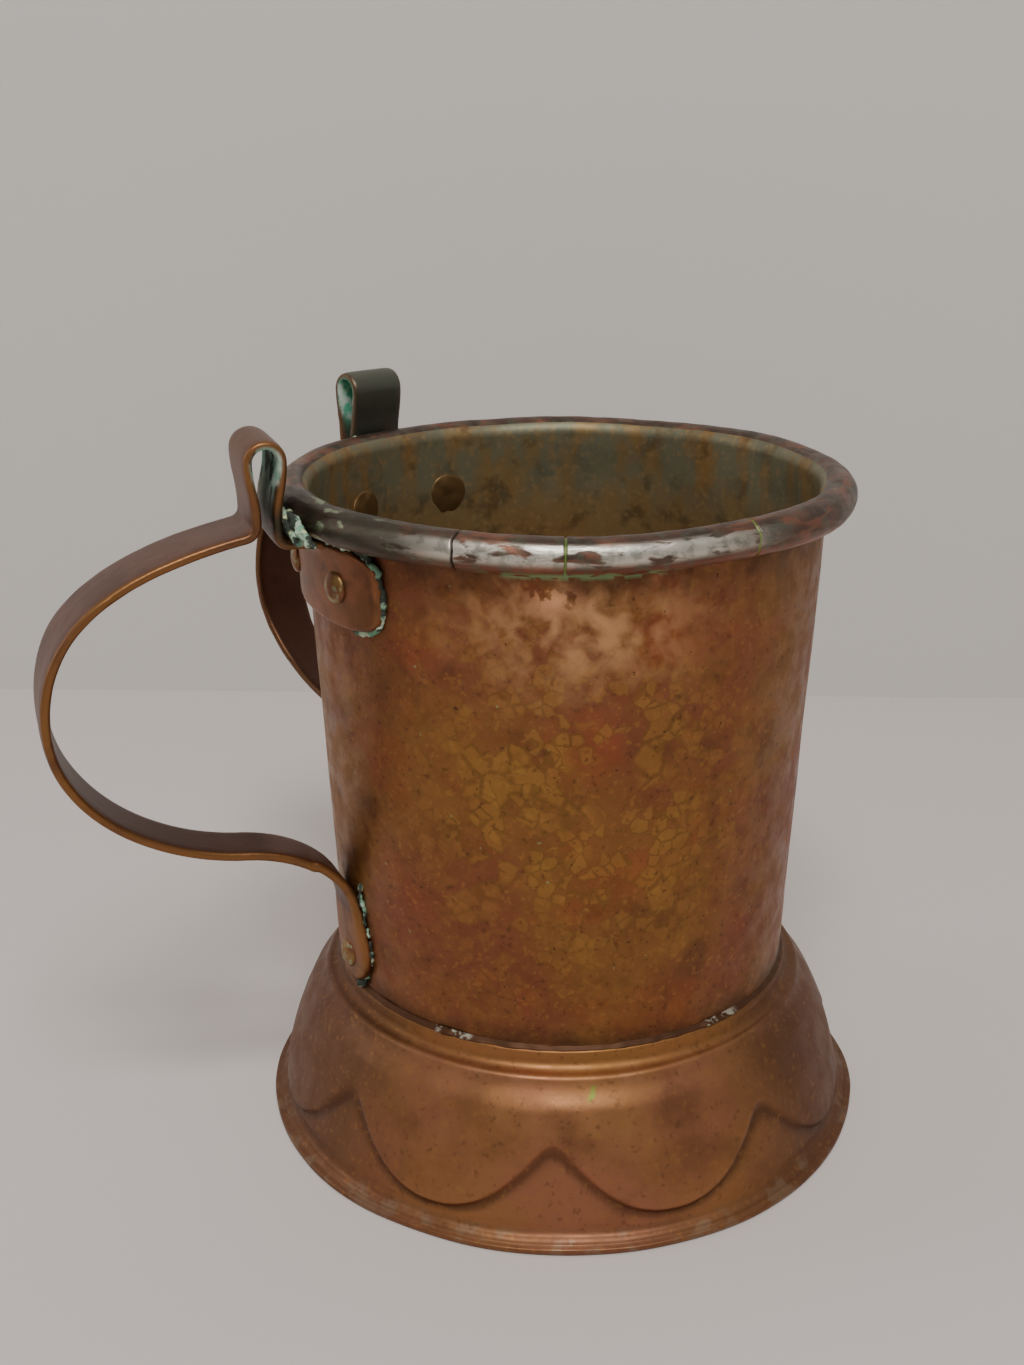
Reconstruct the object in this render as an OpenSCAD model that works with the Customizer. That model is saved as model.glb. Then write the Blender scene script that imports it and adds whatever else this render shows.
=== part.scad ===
// Two-handled copper washing cup on a flared foot.
// The origin is the centre of the ring that the cup stands on, and +Z is the cup's axis.
// The front handle points along -X and the rear handle is turned from it about +Z.

/* [Cup] */
// Height from the table to the top of the rim
cup_h = 144.4; // [110:0.2:180]
// Outer radius of the rim bead
rim_r = 60; // [50:0.5:75]
// Thickness of the rolled bead
bead_d = 7.2; // [6:0.1:9]
// Thickness of the copper sheet
sheet_t = 1.2; // [0.8:0.1:1.6]
// Outer radius of the wall where the foot grips it
waist_r = 49.2; // [40:0.2:60]
// Opening left between the rolled edge and the wall
lip_gap = 0.5; // [0.3:0.1:0.8]

/* [Foot] */
// Height of the foot, from the table to its collar's top edge
foot_h = 36.2; // [28:0.2:46]
// Outer radius of the foot's flange
flange_r = 67.5; // [62:0.5:82]
// Width of the flange outside the groove
flange_w = 3.4; // [2.6:0.1:5]
// Thickness of the hem turned under the flange
hem_d = 2.6; // [2.2:0.1:3.6]
// Height of the collar's straight part
collar_h = 1.6; // [1.2:0.1:3]
// Radius of the hollow between collar and shoulder
cove_arc = 2.2; // [1.8:0.1:4]
// Radius of the shoulder's ridge
ridge_arc = 1.3; // [1:0.1:2]
// Outward swell of the skirt between shoulder and groove
skirt_swell = 1.1; // [0:0.1:2]
// Radius of the hollow where the skirt turns into the flange
flange_arc = 1.6; // [1:0.1:2.4]
// Depth that the wall reaches down inside the foot
wall_tail = 9; // [7:0.5:12]
// Size of the solder fillet on the collar
seam_size = 0.9; // [0.5:0.1:1.5]
// Height of the floor's turned-down edge
floor_edge = 5; // [3:0.5:6]

/* [Handles] */
// Turn from the front handle to the rear handle
handle_turn = 67; // [60:1:180]
// Thickness of the handle strap
strap_t = 2.2; // [1.8:0.05:3]
// Thickness of the hammered plate and pad
plate_t = 2; // [1.5:0.1:2.6]
// Outer width of the thumb loop
loop_w = 8.8; // [7.4:0.1:11]
// Gap between the loop's two limbs where they are pinched
limb_gap = 1.8; // [0.4:0.1:2.6]
// Lean of the thumb loop towards the cup
loop_lean = 0.2; // [0:0.1:1]
// Gap between the strap and the bead
neck_gap = 1.4; // [0.4:0.1:2]
// Length of the head plate round the wall
head_plate_w = 49; // [42:1:60]
// Height of the head plate
head_plate_h = 16.5; // [12:0.5:20]
// Height of the leaf pad
pad_h = 21; // [17:0.5:24]
// Distance between the leaf pad's tip and the foot's solder seam
pad_gap = 0.5; // [0.3:0.1:4]
// Height of the grip's lower run above the pad's tip
low_run = 33.5; // [28:0.5:40]

/* [Front and rear] */
// Height of the front thumb loop's top above the rim
front_loop_rise = 12.2; // [9:0.2:16]
// Height of the rear thumb loop's top above the rim
rear_loop_rise = 13; // [9:0.2:16]
// Reach of the front grip beyond the rim
front_reach = 49.7; // [40:0.5:60]
// Reach of the rear grip beyond the rim
rear_reach = 46.5; // [40:0.5:60]
// Drop of the front grip's outermost point below the middle of its span
front_sag = 0; // [-4:0.5:6]
// Drop of the rear grip's outermost point below the middle of its span
rear_sag = 6; // [-4:0.5:8]
// Sideways set of the front handle from the cup's axis
front_shift = 4.2; // [0:0.1:5]
// Sideways set of the rear handle from the cup's axis
rear_shift = 1.3; // [0:0.1:5]
// Sideways set of the front leaf pad from its strap
front_pad_set = 2; // [0:0.1:3]
// Sideways set of the rear leaf pad from its strap
rear_pad_set = 0; // [0:0.1:3]
// Front strap's width at the thumb loop
front_loop_w = 18; // [13:0.5:20]
// Front strap's greatest width, on the grip
front_grip_w = 20; // [14:0.5:24]
// Front strap's least width, low on the grip
front_low_w = 11.5; // [9:0.5:14]
// Rear strap's width at the thumb loop
rear_loop_w = 13.5; // [11:0.5:20]
// Rear strap's greatest width, on the grip
rear_grip_w = 15; // [13:0.5:24]
// Rear strap's least width, low on the grip
rear_low_w = 11; // [9:0.5:14]
// Greatest width of a leaf pad
pad_w = 15.5; // [13:0.5:18]

/* [Rivets] */
// Diameter of a rivet's shank
rivet_d = 4; // [3:0.1:5]
// Diameter of a rivet's hammered outer head
rivet_head_d = 6.4; // [5:0.1:8]
// Height of a rivet's outer head
rivet_head_h = 1.6; // [1:0.1:2.4]
// Diameter of a rivet's flat inner head
rivet_inner_d = 9; // [6.5:0.1:11]
// Thickness of a rivet's inner head
rivet_inner_t = 1.3; // [0.8:0.1:2]
// Distance between the front head plate's two rivets
front_pitch = 24.4; // [20:0.2:30]
// Distance between the rear head plate's two rivets
rear_pitch = 25.8; // [20:0.2:30]

/* [Hidden] */
$fn = 96;
fine_round = 360;

copper = "#9a5a3c";
dark_copper = "#6d4634";
tin = "#a9a79c";
verdigris = "#8fb8a0";

// Rim and wall
bead_r = bead_d / 2;
wire_r = bead_r - sheet_t;
bead_ring = rim_r - bead_r;
bead_z = cup_h - bead_r;
bead_low = cup_h - bead_d;
wall_top_r = rim_r - bead_d + sheet_t;
wall_taper = (wall_top_r - waist_r) / (bead_low - foot_h);
wall_low = foot_h - wall_tail;
floor_top = wall_low + floor_edge + 1;

// Outer radius of the wall at height z
function wall_r(z) = waist_r + wall_taper * (z - foot_h);

// Foot
collar_r = wall_r(foot_h) + sheet_t;
ridge_mid = [collar_r + cove_arc, foot_h - collar_h - cove_arc - ridge_arc];
shoulder_turn = 14;
shoulder_r = ridge_mid[0] + ridge_arc * cos(shoulder_turn);
shoulder_z = ridge_mid[1] + ridge_arc * sin(shoulder_turn);
hem_r = hem_d / 2;
hem_sink = 0.2;
hem_top = hem_d - hem_sink;
groove_r = flange_r - flange_w;
groove_z = hem_top + flange_arc;
skirt_steps = 14;

// Handles
neck_u = rim_r + neck_gap + strap_t / 2;
loop_arc = (loop_w - strap_t) / 2;
outer_neck_u = neck_u + strap_t + limb_gap;
loop_mid_u = (neck_u + outer_neck_u) / 2 - loop_lean;
neck_z = cup_h - 2.4;
tuck_z = bead_low - 0.1 - strap_t / 2;
tuck_arc = 2;
head_top = bead_low - 0.8;
head_low = head_top - head_plate_h;
rivet_z = head_low + head_plate_h / 2;
elbow_arc = 2.6;
elbow_tilt = 11;
elbow_z = cup_h - 4;
pad_low = foot_h + seam_size + pad_gap;
low_z = pad_low + low_run;
elbow_end_u = outer_neck_u + elbow_arc * (1 - sin(elbow_tilt));
elbow_end_z = elbow_z - elbow_arc * cos(elbow_tilt);
grip_z = (elbow_end_z + low_z) / 2;
pad_rivet_z = pad_low + pad_w / 2 - 1.5;
pad_bend_z = pad_low + pad_h - 4;
pad_end_z = pad_low + 11;

// Turn from the cup's radius through a handle to a point set sideways from it, at height z
function set_turn(set, z) = asin(set / wall_r(z));

// Points on an arc: centre, radius, start angle, turn and steps
function arc(c, r, from, turn, steps) =
    [for (i = [0:steps]) c + r * [cos(from + turn * i / steps), sin(from + turn * i / steps)]];

// Points on a cubic curve, without its first point
function curve(a, b, c, d, steps) =
    [for (i = [1:steps]) let (t = i / steps, s = 1 - t)
        s * s * s * a + 3 * s * s * t * b + 3 * s * t * t * c + t * t * t * d];

// Side view of the strap's middle line, from the head plate to the leaf pad.
// The first number is the distance from the cup's axis and the second is the height.
plate_u = wall_r(tuck_z) + strap_t / 2;
head_end = [plate_u, tuck_z - tuck_arc - 1];
loop_in = loop_mid_u - loop_arc;
loop_out = loop_mid_u + loop_arc;
elbow_end = [elbow_end_u, elbow_end_z];
elbow_way = [cos(elbow_tilt), -sin(elbow_tilt)];
pad_bend = [wall_r(pad_bend_z) + strap_t / 2, pad_bend_z];
pad_end = [wall_r(pad_end_z) + strap_t / 2, pad_end_z];
function strap_line(rise, reach, sag) =
    let (
        loop_z = cup_h + rise - strap_t / 2 - loop_arc,
        grip_u = rim_r + reach - strap_t / 2,
        grip_span = grip_u - elbow_end_u,
        grip_out = [grip_u, grip_z - sag],
        low_u = rim_r + reach * 0.24,
        low_end = [low_u, low_z]
    )
    concat(
        [head_end],
        arc([plate_u + tuck_arc, tuck_z - tuck_arc], tuck_arc, 180, -90, 6),
        arc([neck_u - tuck_arc, tuck_z + tuck_arc], tuck_arc, -90, 90, 6),
        [[neck_u, neck_z]],
        curve([neck_u, neck_z], [neck_u, neck_z + 3],
            [loop_in, loop_z - 4], [loop_in, loop_z], 5),
        arc([loop_mid_u, loop_z], loop_arc, 165, -165, 11),
        curve([loop_out, loop_z], [loop_out, loop_z - 4],
            [outer_neck_u, neck_z + 3], [outer_neck_u, neck_z], 5),
        arc([outer_neck_u + elbow_arc, elbow_z], elbow_arc, 180, 90 - elbow_tilt, 6),
        curve(elbow_end, elbow_end + grip_span * 0.58 * elbow_way,
            grip_out + [0, (elbow_end_z - grip_z) * 0.62], grip_out, 14),
        curve(grip_out, grip_out - [0, (grip_out[1] - low_z) * 0.56],
            low_end + [(grip_u - low_u) * 0.5, 2], low_end, 14),
        curve(low_end, low_end - [(low_u - pad_bend[0]) * 0.55, 1.4],
            pad_bend + [0.3, 8.5], pad_bend, 9),
        [pad_end]
    );

// The line moved sideways by d, as the strap's inner or outer face
function side(line, d) =
    [for (i = [0:len(line) - 1])
        let (
            a = line[max(i - 1, 0)],
            b = line[min(i + 1, len(line) - 1)],
            way = (b - a) / norm(b - a)
        )
        line[i] + d * [-way[1], way[0]]];

// Smooth step from 0 to 1 as z goes from a to b
function ease(z, a, b) =
    let (t = min(max((z - a) / (b - a), 0), 1))
    t * t * (3 - 2 * t);

// Half width of a strap at height z
function half_w(z, loop, grip, low) =
    (low + (grip - low) * ease(z, low_z - 2, grip_z + 4)
        + (loop - grip) * ease(z, grip_z + 10, tuck_z)
        + (pad_w * 0.8 - low) * (1 - ease(z, pad_bend_z - 4, low_z - 3))) / 2;

module about_axis(turn) {
    rotate([0, 0, turn]) children();
}

// Draws a side view in the plane that holds the cup's axis and points along -X
module side_view(w) {
    rotate([90, 0, 0])
        mirror([1, 0, 0])
            translate([0, 0, -w / 2])
                linear_extrude(w) children();
}

// Draws a front view and carries it outwards along -X from the axis
module front_view(reach) {
    rotate([90, 0, -90])
        linear_extrude(reach) children();
}

// The solid inside the wall's outer face, which handles and rivets are fitted to
module wall_core(grow, low, high) {
    rotate_extrude($fn = fine_round)
        polygon([
            [0, low], [wall_r(low) + grow, low],
            [wall_r(high) + grow, high], [0, high]
        ]);
}

module rivet_hole(z, turn) {
    about_axis(turn)
        translate([0, 0, z])
            rotate([0, -90, 0]) cylinder(h = rim_r + 10, d = rivet_d);
}

// The two upper holes and the lower one that a handle is riveted through
module handle_holes(shift, pitch, pad_set) {
    rivet_hole(rivet_z, set_turn(shift - pitch / 2, rivet_z));
    rivet_hole(rivet_z, set_turn(shift + pitch / 2, rivet_z));
    rivet_hole(pad_rivet_z, set_turn(shift + pad_set, pad_rivet_z));
}

module body_wall() {
    color(copper)
        difference() {
            rotate_extrude()
                difference() {
                    union() {
                        polygon([
                            [wall_r(wall_low) - sheet_t, wall_low],
                            [wall_r(wall_low), wall_low],
                            [wall_top_r, bead_low],
                            [wall_top_r, bead_z],
                            [wall_top_r - sheet_t, bead_z],
                            [wall_top_r - sheet_t, bead_low]
                        ]);
                        translate([bead_ring, bead_z]) circle(bead_r);
                    }
                    translate([bead_ring, bead_z]) circle(wire_r);
                    translate([wall_top_r, bead_low - 1]) square([lip_gap, bead_r]);
                }
            handle_holes(front_shift, front_pitch, front_pad_set);
            about_axis(-handle_turn) handle_holes(rear_shift, rear_pitch, rear_pad_set);
        }
}

module rim_wire() {
    color(dark_copper)
        rotate_extrude()
            translate([bead_ring, bead_z]) circle(wire_r);
}

module cup_floor() {
    corner_z = floor_top - 0.6;
    corner_r = wall_r(corner_z) - sheet_t;
    low = floor_top - floor_edge;
    color(dark_copper)
        rotate_extrude()
            polygon([
                [0, floor_top - sheet_t],
                [wall_r(low) - 2 * sheet_t - 0.4, floor_top - sheet_t],
                [wall_r(low) - 2 * sheet_t, low],
                [wall_r(low) - sheet_t, low],
                [corner_r, corner_z],
                [corner_r - 0.6, floor_top],
                [0, floor_top]
            ]);
}

// Face of the skirt from the flange up to the shoulder, set in by the given amount
function skirt_face(inset) =
    [for (i = [0:skirt_steps])
        let (t = i / skirt_steps)
        [groove_r - inset + (shoulder_r - groove_r) * t + skirt_swell * sin(180 * t),
            groove_z + (shoulder_z - groove_z) * t]];

module foot() {
    hem_mid = flange_r - hem_r;
    inner_skirt = skirt_face(sheet_t);
    color(copper)
        rotate_extrude() {
            polygon(concat(
                skirt_face(0),
                arc(ridge_mid, ridge_arc, shoulder_turn, 90 - shoulder_turn, 5),
                arc(ridge_mid + [0, ridge_arc + cove_arc], cove_arc, 270, -80, 6),
                [
                    [collar_r, foot_h - 0.4],
                    [collar_r - 0.4, foot_h],
                    [wall_r(foot_h), foot_h],
                    [wall_r(shoulder_z - 1), shoulder_z - 1],
                    [shoulder_r - 2.6, shoulder_z - 1.2]
                ],
                [for (i = [skirt_steps - 1:-1:0]) inner_skirt[i]],
                arc([groove_r + flange_arc, groove_z], flange_arc + sheet_t, 190, 70, 4),
                [[hem_mid, hem_top - sheet_t], [hem_mid, hem_top]],
                arc([groove_r + flange_arc, groove_z], flange_arc, 270, -80, 5)
            ));
            intersection() {
                translate([hem_mid, hem_r - hem_sink]) circle(hem_r);
                translate([flange_r - hem_d, 0]) square([hem_d, hem_d]);
            }
        }
}

module foot_seam() {
    color(tin)
        rotate_extrude()
            polygon([
                [wall_r(foot_h), foot_h],
                [wall_r(foot_h) + seam_size, foot_h],
                [wall_r(foot_h) + seam_size * 0.4, foot_h + seam_size * 0.4],
                [wall_r(foot_h + seam_size), foot_h + seam_size]
            ]);
}

// Rounded head plate seen from outside
module head_outline() {
    corner = 6;
    translate([-head_plate_w / 2 + corner, head_low])
        square([head_plate_w - 2 * corner, head_plate_h]);
    translate([-head_plate_w / 2, head_low + corner])
        square([head_plate_w, head_plate_h - corner]);
    for (s = [-1, 1])
        translate([s * (head_plate_w / 2 - corner), head_low + corner]) circle(corner);
}

// Leaf pad seen from outside, with a rounded tip and tapering shoulders
module pad_outline(low) {
    tip_r = pad_w / 2;
    translate([0, pad_low + tip_r]) circle(tip_r);
    polygon([
        [-tip_r, pad_low + tip_r], [tip_r, pad_low + tip_r],
        [low / 2, pad_low + pad_h], [-low / 2, pad_low + pad_h]
    ]);
}

// A handle along -X, set sideways by shift
module strap(loop, grip, low, rise, reach, sag, shift, pitch, pad_set) {
    width_steps = 26;
    line = strap_line(rise, reach, sag);
    low_edge = pad_low;
    high_edge = cup_h + rise + 1;
    heights = [for (i = [0:width_steps]) low_edge + (high_edge - low_edge) * i / width_steps];
    inner_face = side(line, -strap_t / 2);
    difference() {
        translate([0, -shift, 0]) union() {
            intersection() {
                side_view(40)
                    polygon(concat(
                        side(line, strap_t / 2),
                        [for (i = [len(line) - 1:-1:0]) inner_face[i]]
                    ));
                front_view(rim_r + reach + 5)
                    polygon(concat(
                        [for (z = heights) [half_w(z, loop, grip, low), z]],
                        [for (i = [width_steps:-1:0])
                            [-half_w(heights[i], loop, grip, low), heights[i]]]
                    ));
            }
            intersection() {
                translate([0, shift, 0]) wall_core(plate_t, head_low, head_top);
                front_view(rim_r + 5) head_outline();
            }
            intersection() {
                translate([0, shift, 0]) wall_core(plate_t, pad_low, pad_low + pad_h);
                front_view(rim_r + 5) translate([pad_set, 0]) pad_outline(low);
            }
        }
        wall_core(0, pad_low - 2, head_top + 2);
        handle_holes(shift, pitch, pad_set);
    }
}

module front_handle() {
    color(copper)
        strap(front_loop_w, front_grip_w, front_low_w, front_loop_rise, front_reach, front_sag,
            front_shift, front_pitch, front_pad_set);
}

module rear_handle() {
    color(copper)
        about_axis(-handle_turn)
            strap(rear_loop_w, rear_grip_w, rear_low_w, rear_loop_rise, rear_reach, rear_sag,
                rear_shift, rear_pitch, rear_pad_set);
}

// Lump of solder in the wedge between the bead and the strap
module solder(width, shift) {
    difference() {
        translate([-(neck_u - strap_t / 2), -width / 2 - shift, bead_z - 1.2])
            cube([4, width, neck_z - bead_z + 1.2]);
        rotate_extrude($fn = fine_round)
            translate([bead_ring, bead_z]) circle(bead_r);
        translate([0, 0, bead_z - 5]) cylinder(h = 10, r = bead_ring, $fn = fine_round);
    }
}

module front_solder() {
    color(verdigris) solder(front_loop_w, front_shift);
}

module rear_solder() {
    color(verdigris)
        about_axis(-handle_turn) solder(rear_loop_w, rear_shift);
}

// A rivet on the -X side at height z, through the wall and a plate of the given thickness.
// Both heads are hammered down to the curve that they sit on.
module rivet(z, t) {
    out_r = wall_r(z) + t;
    dome_r = (rivet_head_d * rivet_head_d / 4 + rivet_head_h * rivet_head_h) / 2 / rivet_head_h;
    dome_turn = acos(rivet_head_d / 2 / dome_r);
    translate([-out_r - rivet_head_h / 2, 0, z])
        rotate([0, 90, 0])
            cylinder(h = rivet_head_h / 2 + t + sheet_t + rivet_inner_t / 2, d = rivet_d);
    difference() {
        translate([-out_r, 0, z])
            rotate([0, -90, 0])
                rotate_extrude()
                    polygon(concat(
                        [[0, -0.6], [rivet_head_d / 2, -0.6]],
                        arc([0, rivet_head_h - dome_r], dome_r, dome_turn, 90 - dome_turn, 8)
                    ));
        wall_core(t, z - rivet_head_d, z + rivet_head_d);
    }
    intersection() {
        wall_core(-sheet_t, z - rivet_inner_d, z + rivet_inner_d);
        translate([-wall_r(z) + sheet_t + rivet_inner_t, 0, z])
            rotate([0, -90, 0]) cylinder(h = rivet_inner_t + 2, d = rivet_inner_d);
    }
}

// A rivet through a plate on the wall at height z, set sideways from the cup's axis
module plate_rivet(set, z) {
    about_axis(set_turn(set, z)) rivet(z, plate_t);
}

module front_rivet_upper_1() {
    color(dark_copper) plate_rivet(front_shift + front_pitch / 2, rivet_z);
}

module front_rivet_upper_2() {
    color(dark_copper) plate_rivet(front_shift - front_pitch / 2, rivet_z);
}

module front_rivet_lower() {
    color(dark_copper) plate_rivet(front_shift + front_pad_set, pad_rivet_z);
}

module rear_rivet_upper_1() {
    color(dark_copper)
        about_axis(-handle_turn) plate_rivet(rear_shift + rear_pitch / 2, rivet_z);
}

module rear_rivet_upper_2() {
    color(dark_copper)
        about_axis(-handle_turn) plate_rivet(rear_shift - rear_pitch / 2, rivet_z);
}

module rear_rivet_lower() {
    color(dark_copper)
        about_axis(-handle_turn) plate_rivet(rear_shift + rear_pad_set, pad_rivet_z);
}

body_wall();
rim_wire();
cup_floor();
foot();
foot_seam();
front_handle();
rear_handle();
front_solder();
rear_solder();
front_rivet_upper_1();
front_rivet_upper_2();
front_rivet_lower();
rear_rivet_upper_1();
rear_rivet_upper_2();
rear_rivet_lower();
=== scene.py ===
import math

import bmesh
import bpy
import numpy as np
from mathutils import Matrix, Vector, noise


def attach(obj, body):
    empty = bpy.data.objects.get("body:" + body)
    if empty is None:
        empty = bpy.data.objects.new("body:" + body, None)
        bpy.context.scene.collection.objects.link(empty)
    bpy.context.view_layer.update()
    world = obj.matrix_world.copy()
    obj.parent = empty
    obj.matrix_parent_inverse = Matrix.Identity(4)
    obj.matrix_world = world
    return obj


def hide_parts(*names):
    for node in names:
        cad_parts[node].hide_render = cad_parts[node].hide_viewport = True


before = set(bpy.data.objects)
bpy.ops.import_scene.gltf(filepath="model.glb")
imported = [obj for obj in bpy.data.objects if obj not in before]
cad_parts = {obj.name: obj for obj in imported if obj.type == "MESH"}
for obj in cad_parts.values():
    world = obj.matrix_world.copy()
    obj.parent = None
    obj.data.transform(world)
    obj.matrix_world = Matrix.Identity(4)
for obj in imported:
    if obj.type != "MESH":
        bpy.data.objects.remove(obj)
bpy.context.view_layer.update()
mm = 0.001

# ---------------------------------------------------------------------------------------
# The camera stands at a person's eye as they look down at the cup on a table, a little to
# one side of its two handles. The cup's front handle points along -X.
eye_turn = math.radians(-21)
eye_distance = 327.2 * mm
eye_height = 213.8 * mm
look_aside = math.radians(1.93)
look_down = math.radians(19.69)
look_roll = math.radians(-0.36)

eye = bpy.data.cameras.new("eye")
eye.sensor_fit = "HORIZONTAL"
eye.sensor_width = 36
eye.lens = 56.25
eye.clip_start = 0.01
eye.clip_end = 20
eye_object = bpy.data.objects.new("eye", eye)
bpy.context.scene.collection.objects.link(eye_object)
eye_object.matrix_world = (
    Matrix.Rotation(eye_turn, 4, "Z")
    @ Matrix.Translation((0, -eye_distance, eye_height))
    @ Matrix.Rotation(look_aside, 4, "Z")
    @ Matrix.Rotation(math.radians(90) - look_down, 4, "X")
    @ Matrix.Rotation(look_roll, 4, "Z")
)
bpy.context.scene.camera = eye_object

# ---------------------------------------------------------------------------------------
# The table and wall are plain pale paper. The light is a soft studio light: a window above
# and behind the camera, a weak lamp at each side, and a pale room all round.


def tone(code):
    """A colour written as six hex digits, as the linear colour that a shader needs."""
    parts = [int(code[i : i + 2], 16) / 255 for i in (0, 2, 4)]
    return (*[p / 12.92 if p <= 0.04045 else ((p + 0.055) / 1.055) ** 2.4 for p in parts], 1)


def paper(name, colour):
    paint = bpy.data.materials.new(name)
    paint.use_nodes = True
    shader = paint.node_tree.nodes["Principled BSDF"]
    shader.inputs["Base Color"].default_value = tone(colour)
    shader.inputs["Roughness"].default_value = 0.9
    return paint


def sheet_of_paper(name, corners, paint):
    mesh = bpy.data.meshes.new(name)
    mesh.from_pydata([view_way @ Vector(p) for p in corners], [], [(0, 1, 2, 3)])
    mesh.materials.append(paint)
    sheet_object = bpy.data.objects.new(name, mesh)
    bpy.context.scene.collection.objects.link(sheet_object)


view_way = Matrix.Rotation(eye_turn - math.radians(0.6), 3, "Z")
wall_distance = 0.257
room_half = 3
sheet_of_paper(
    "table",
    [
        (-room_half, -room_half, 0),
        (room_half, -room_half, 0),
        (room_half, wall_distance, 0),
        (-room_half, wall_distance, 0),
    ],
    paper("table_paper", "d9d0cb"),
)
sheet_of_paper(
    "backdrop",
    [
        (-room_half, wall_distance, 0),
        (room_half, wall_distance, 0),
        (room_half, wall_distance, 2.5),
        (-room_half, wall_distance, 2.5),
    ],
    paper("wall_paper", "d6d2cd"),
)


def soft_lamp(name, place, size, power, colour=(1, 1, 1)):
    lamp = bpy.data.lights.new(name, "AREA")
    lamp.shape = "RECTANGLE"
    lamp.size, lamp.size_y = size
    lamp.energy = power
    lamp.color = colour
    lamp_object = bpy.data.objects.new(name, lamp)
    bpy.context.scene.collection.objects.link(lamp_object)
    spot = view_way @ Vector(place)
    aim = (Vector((0, 0, 0.08)) - spot).to_track_quat("-Z", "Y")
    lamp_object.matrix_world = Matrix.Translation(spot) @ aim.to_matrix().to_4x4()


soft_lamp("window", (0.05, -0.75, 1.15), (0.5, 0.4), 12)
soft_lamp("left_lamp", (-1.1, 0.05, 0.55), (0.4, 0.9), 2.2)
soft_lamp("right_lamp", (1.1, 0.1, 0.55), (0.4, 0.9), 0.3)

room = bpy.data.worlds.new("room")
bpy.context.scene.world = room
room.use_nodes = True
room.node_tree.nodes["Background"].inputs["Color"].default_value = tone("d8d4d0")
room.node_tree.nodes["Background"].inputs["Strength"].default_value = 0.42

# ---------------------------------------------------------------------------------------
# Body wall: one sheet of copper raised to a taper, its top edge rolled outwards over a
# wire into a bead. The outside is patinated brown with golden stains, darker under the bead
# and just above the foot, with a painted highlight high on its front. The bead is worn bright
# in front with a painted highlight laid over the wear, and the inside is dull with a damp
# green tide under the rim.
cup_height = 144.4 * mm
rim_radius = 60 * mm
bead_radius = 3.6 * mm
sheet = 1.2 * mm
foot_height = 36.2 * mm
waist_radius = 49.2 * mm
lip_gap = 0.5 * mm
wall_low = foot_height - 9 * mm
bead_ring = rim_radius - bead_radius
bead_height = cup_height - bead_radius
bead_low = cup_height - 2 * bead_radius
wall_top_radius = bead_ring - bead_radius + sheet


def wall_radius(z):
    return waist_radius + (wall_top_radius - waist_radius) * (z - foot_height) / (
        bead_low - foot_height
    )


def ease(value, low, high):
    """A smooth step from 0 to 1."""
    t = np.clip((np.asarray(value, float) - low) / (high - low), 0, 1)
    return t * t * (3 - 2 * t)


def random_field(points, size, seed):
    """A smooth random value near -1 to 1 at each point, with patches of the given size."""
    offset = Vector((seed * 7.3, seed * 3.1, 0))
    return np.array([noise.noise(Vector(p) / size + offset) for p in points])


def arc(centre, radius, start, turn, steps):
    angles = np.radians(start + turn * np.arange(steps + 1) / steps)
    return [(centre[0] + radius * math.cos(a), centre[1] + radius * math.sin(a)) for a in angles]


def run(a, b, steps):
    """Points on a straight line, without its last point."""
    return [tuple(np.array(a) + (np.array(b) - np.array(a)) * i / steps) for i in range(steps)]


def lathe(name, profile, turns, closed=True):
    """Turns a profile of (radius, height) points round the cup's axis."""
    ring = np.array(profile)
    rows, columns = len(ring), len(turns)
    across = np.stack([np.cos(turns), np.sin(turns)], -1)
    points = np.concatenate(
        [ring[:, None, :1] * across[None], np.repeat(ring[:, None, 1:], columns, 1)], -1
    ).reshape(-1, 3)
    faces = []
    for i in range(rows if closed else rows - 1):
        for j in range(columns):
            a, b = i * columns, (i + 1) % rows * columns
            k = (j + 1) % columns
            faces.append((a + j, a + k, b + k, b + j))
    mesh = bpy.data.meshes.new(name)
    mesh.from_pydata(points.tolist(), [], faces)
    made = bpy.data.objects.new(name, mesh)
    bpy.context.scene.collection.objects.link(made)
    return made


def points_of(thing):
    flat = np.empty(len(thing.data.vertices) * 3)
    thing.data.vertices.foreach_get("co", flat)
    return flat.reshape(-1, 3)


def move_points(thing, points):
    thing.data.vertices.foreach_set("co", np.asarray(points, float).ravel())
    thing.data.update()


def close_up(thing, weld=1e-7):
    """Welds seams, turns every face outwards and shades them smoothly."""
    shape = bmesh.new()
    shape.from_mesh(thing.data)
    bmesh.ops.remove_doubles(shape, verts=shape.verts, dist=weld)
    bmesh.ops.dissolve_degenerate(shape, edges=shape.edges, dist=weld)
    bmesh.ops.recalc_face_normals(shape, faces=shape.faces)
    shape.to_mesh(thing.data)
    shape.free()
    thing.data.shade_smooth()


def mark(thing, name, values):
    """Stores one number on each point, for a finish to read."""
    layer = thing.data.attributes.new(name, "FLOAT", "POINT")
    layer.data.foreach_set("value", np.asarray(values, float))


def degrees_round(points):
    """Degrees round the cup from the front handle towards the camera's side."""
    return np.degrees(np.arctan2(points[:, 1], points[:, 0])) % 360 - 180


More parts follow.
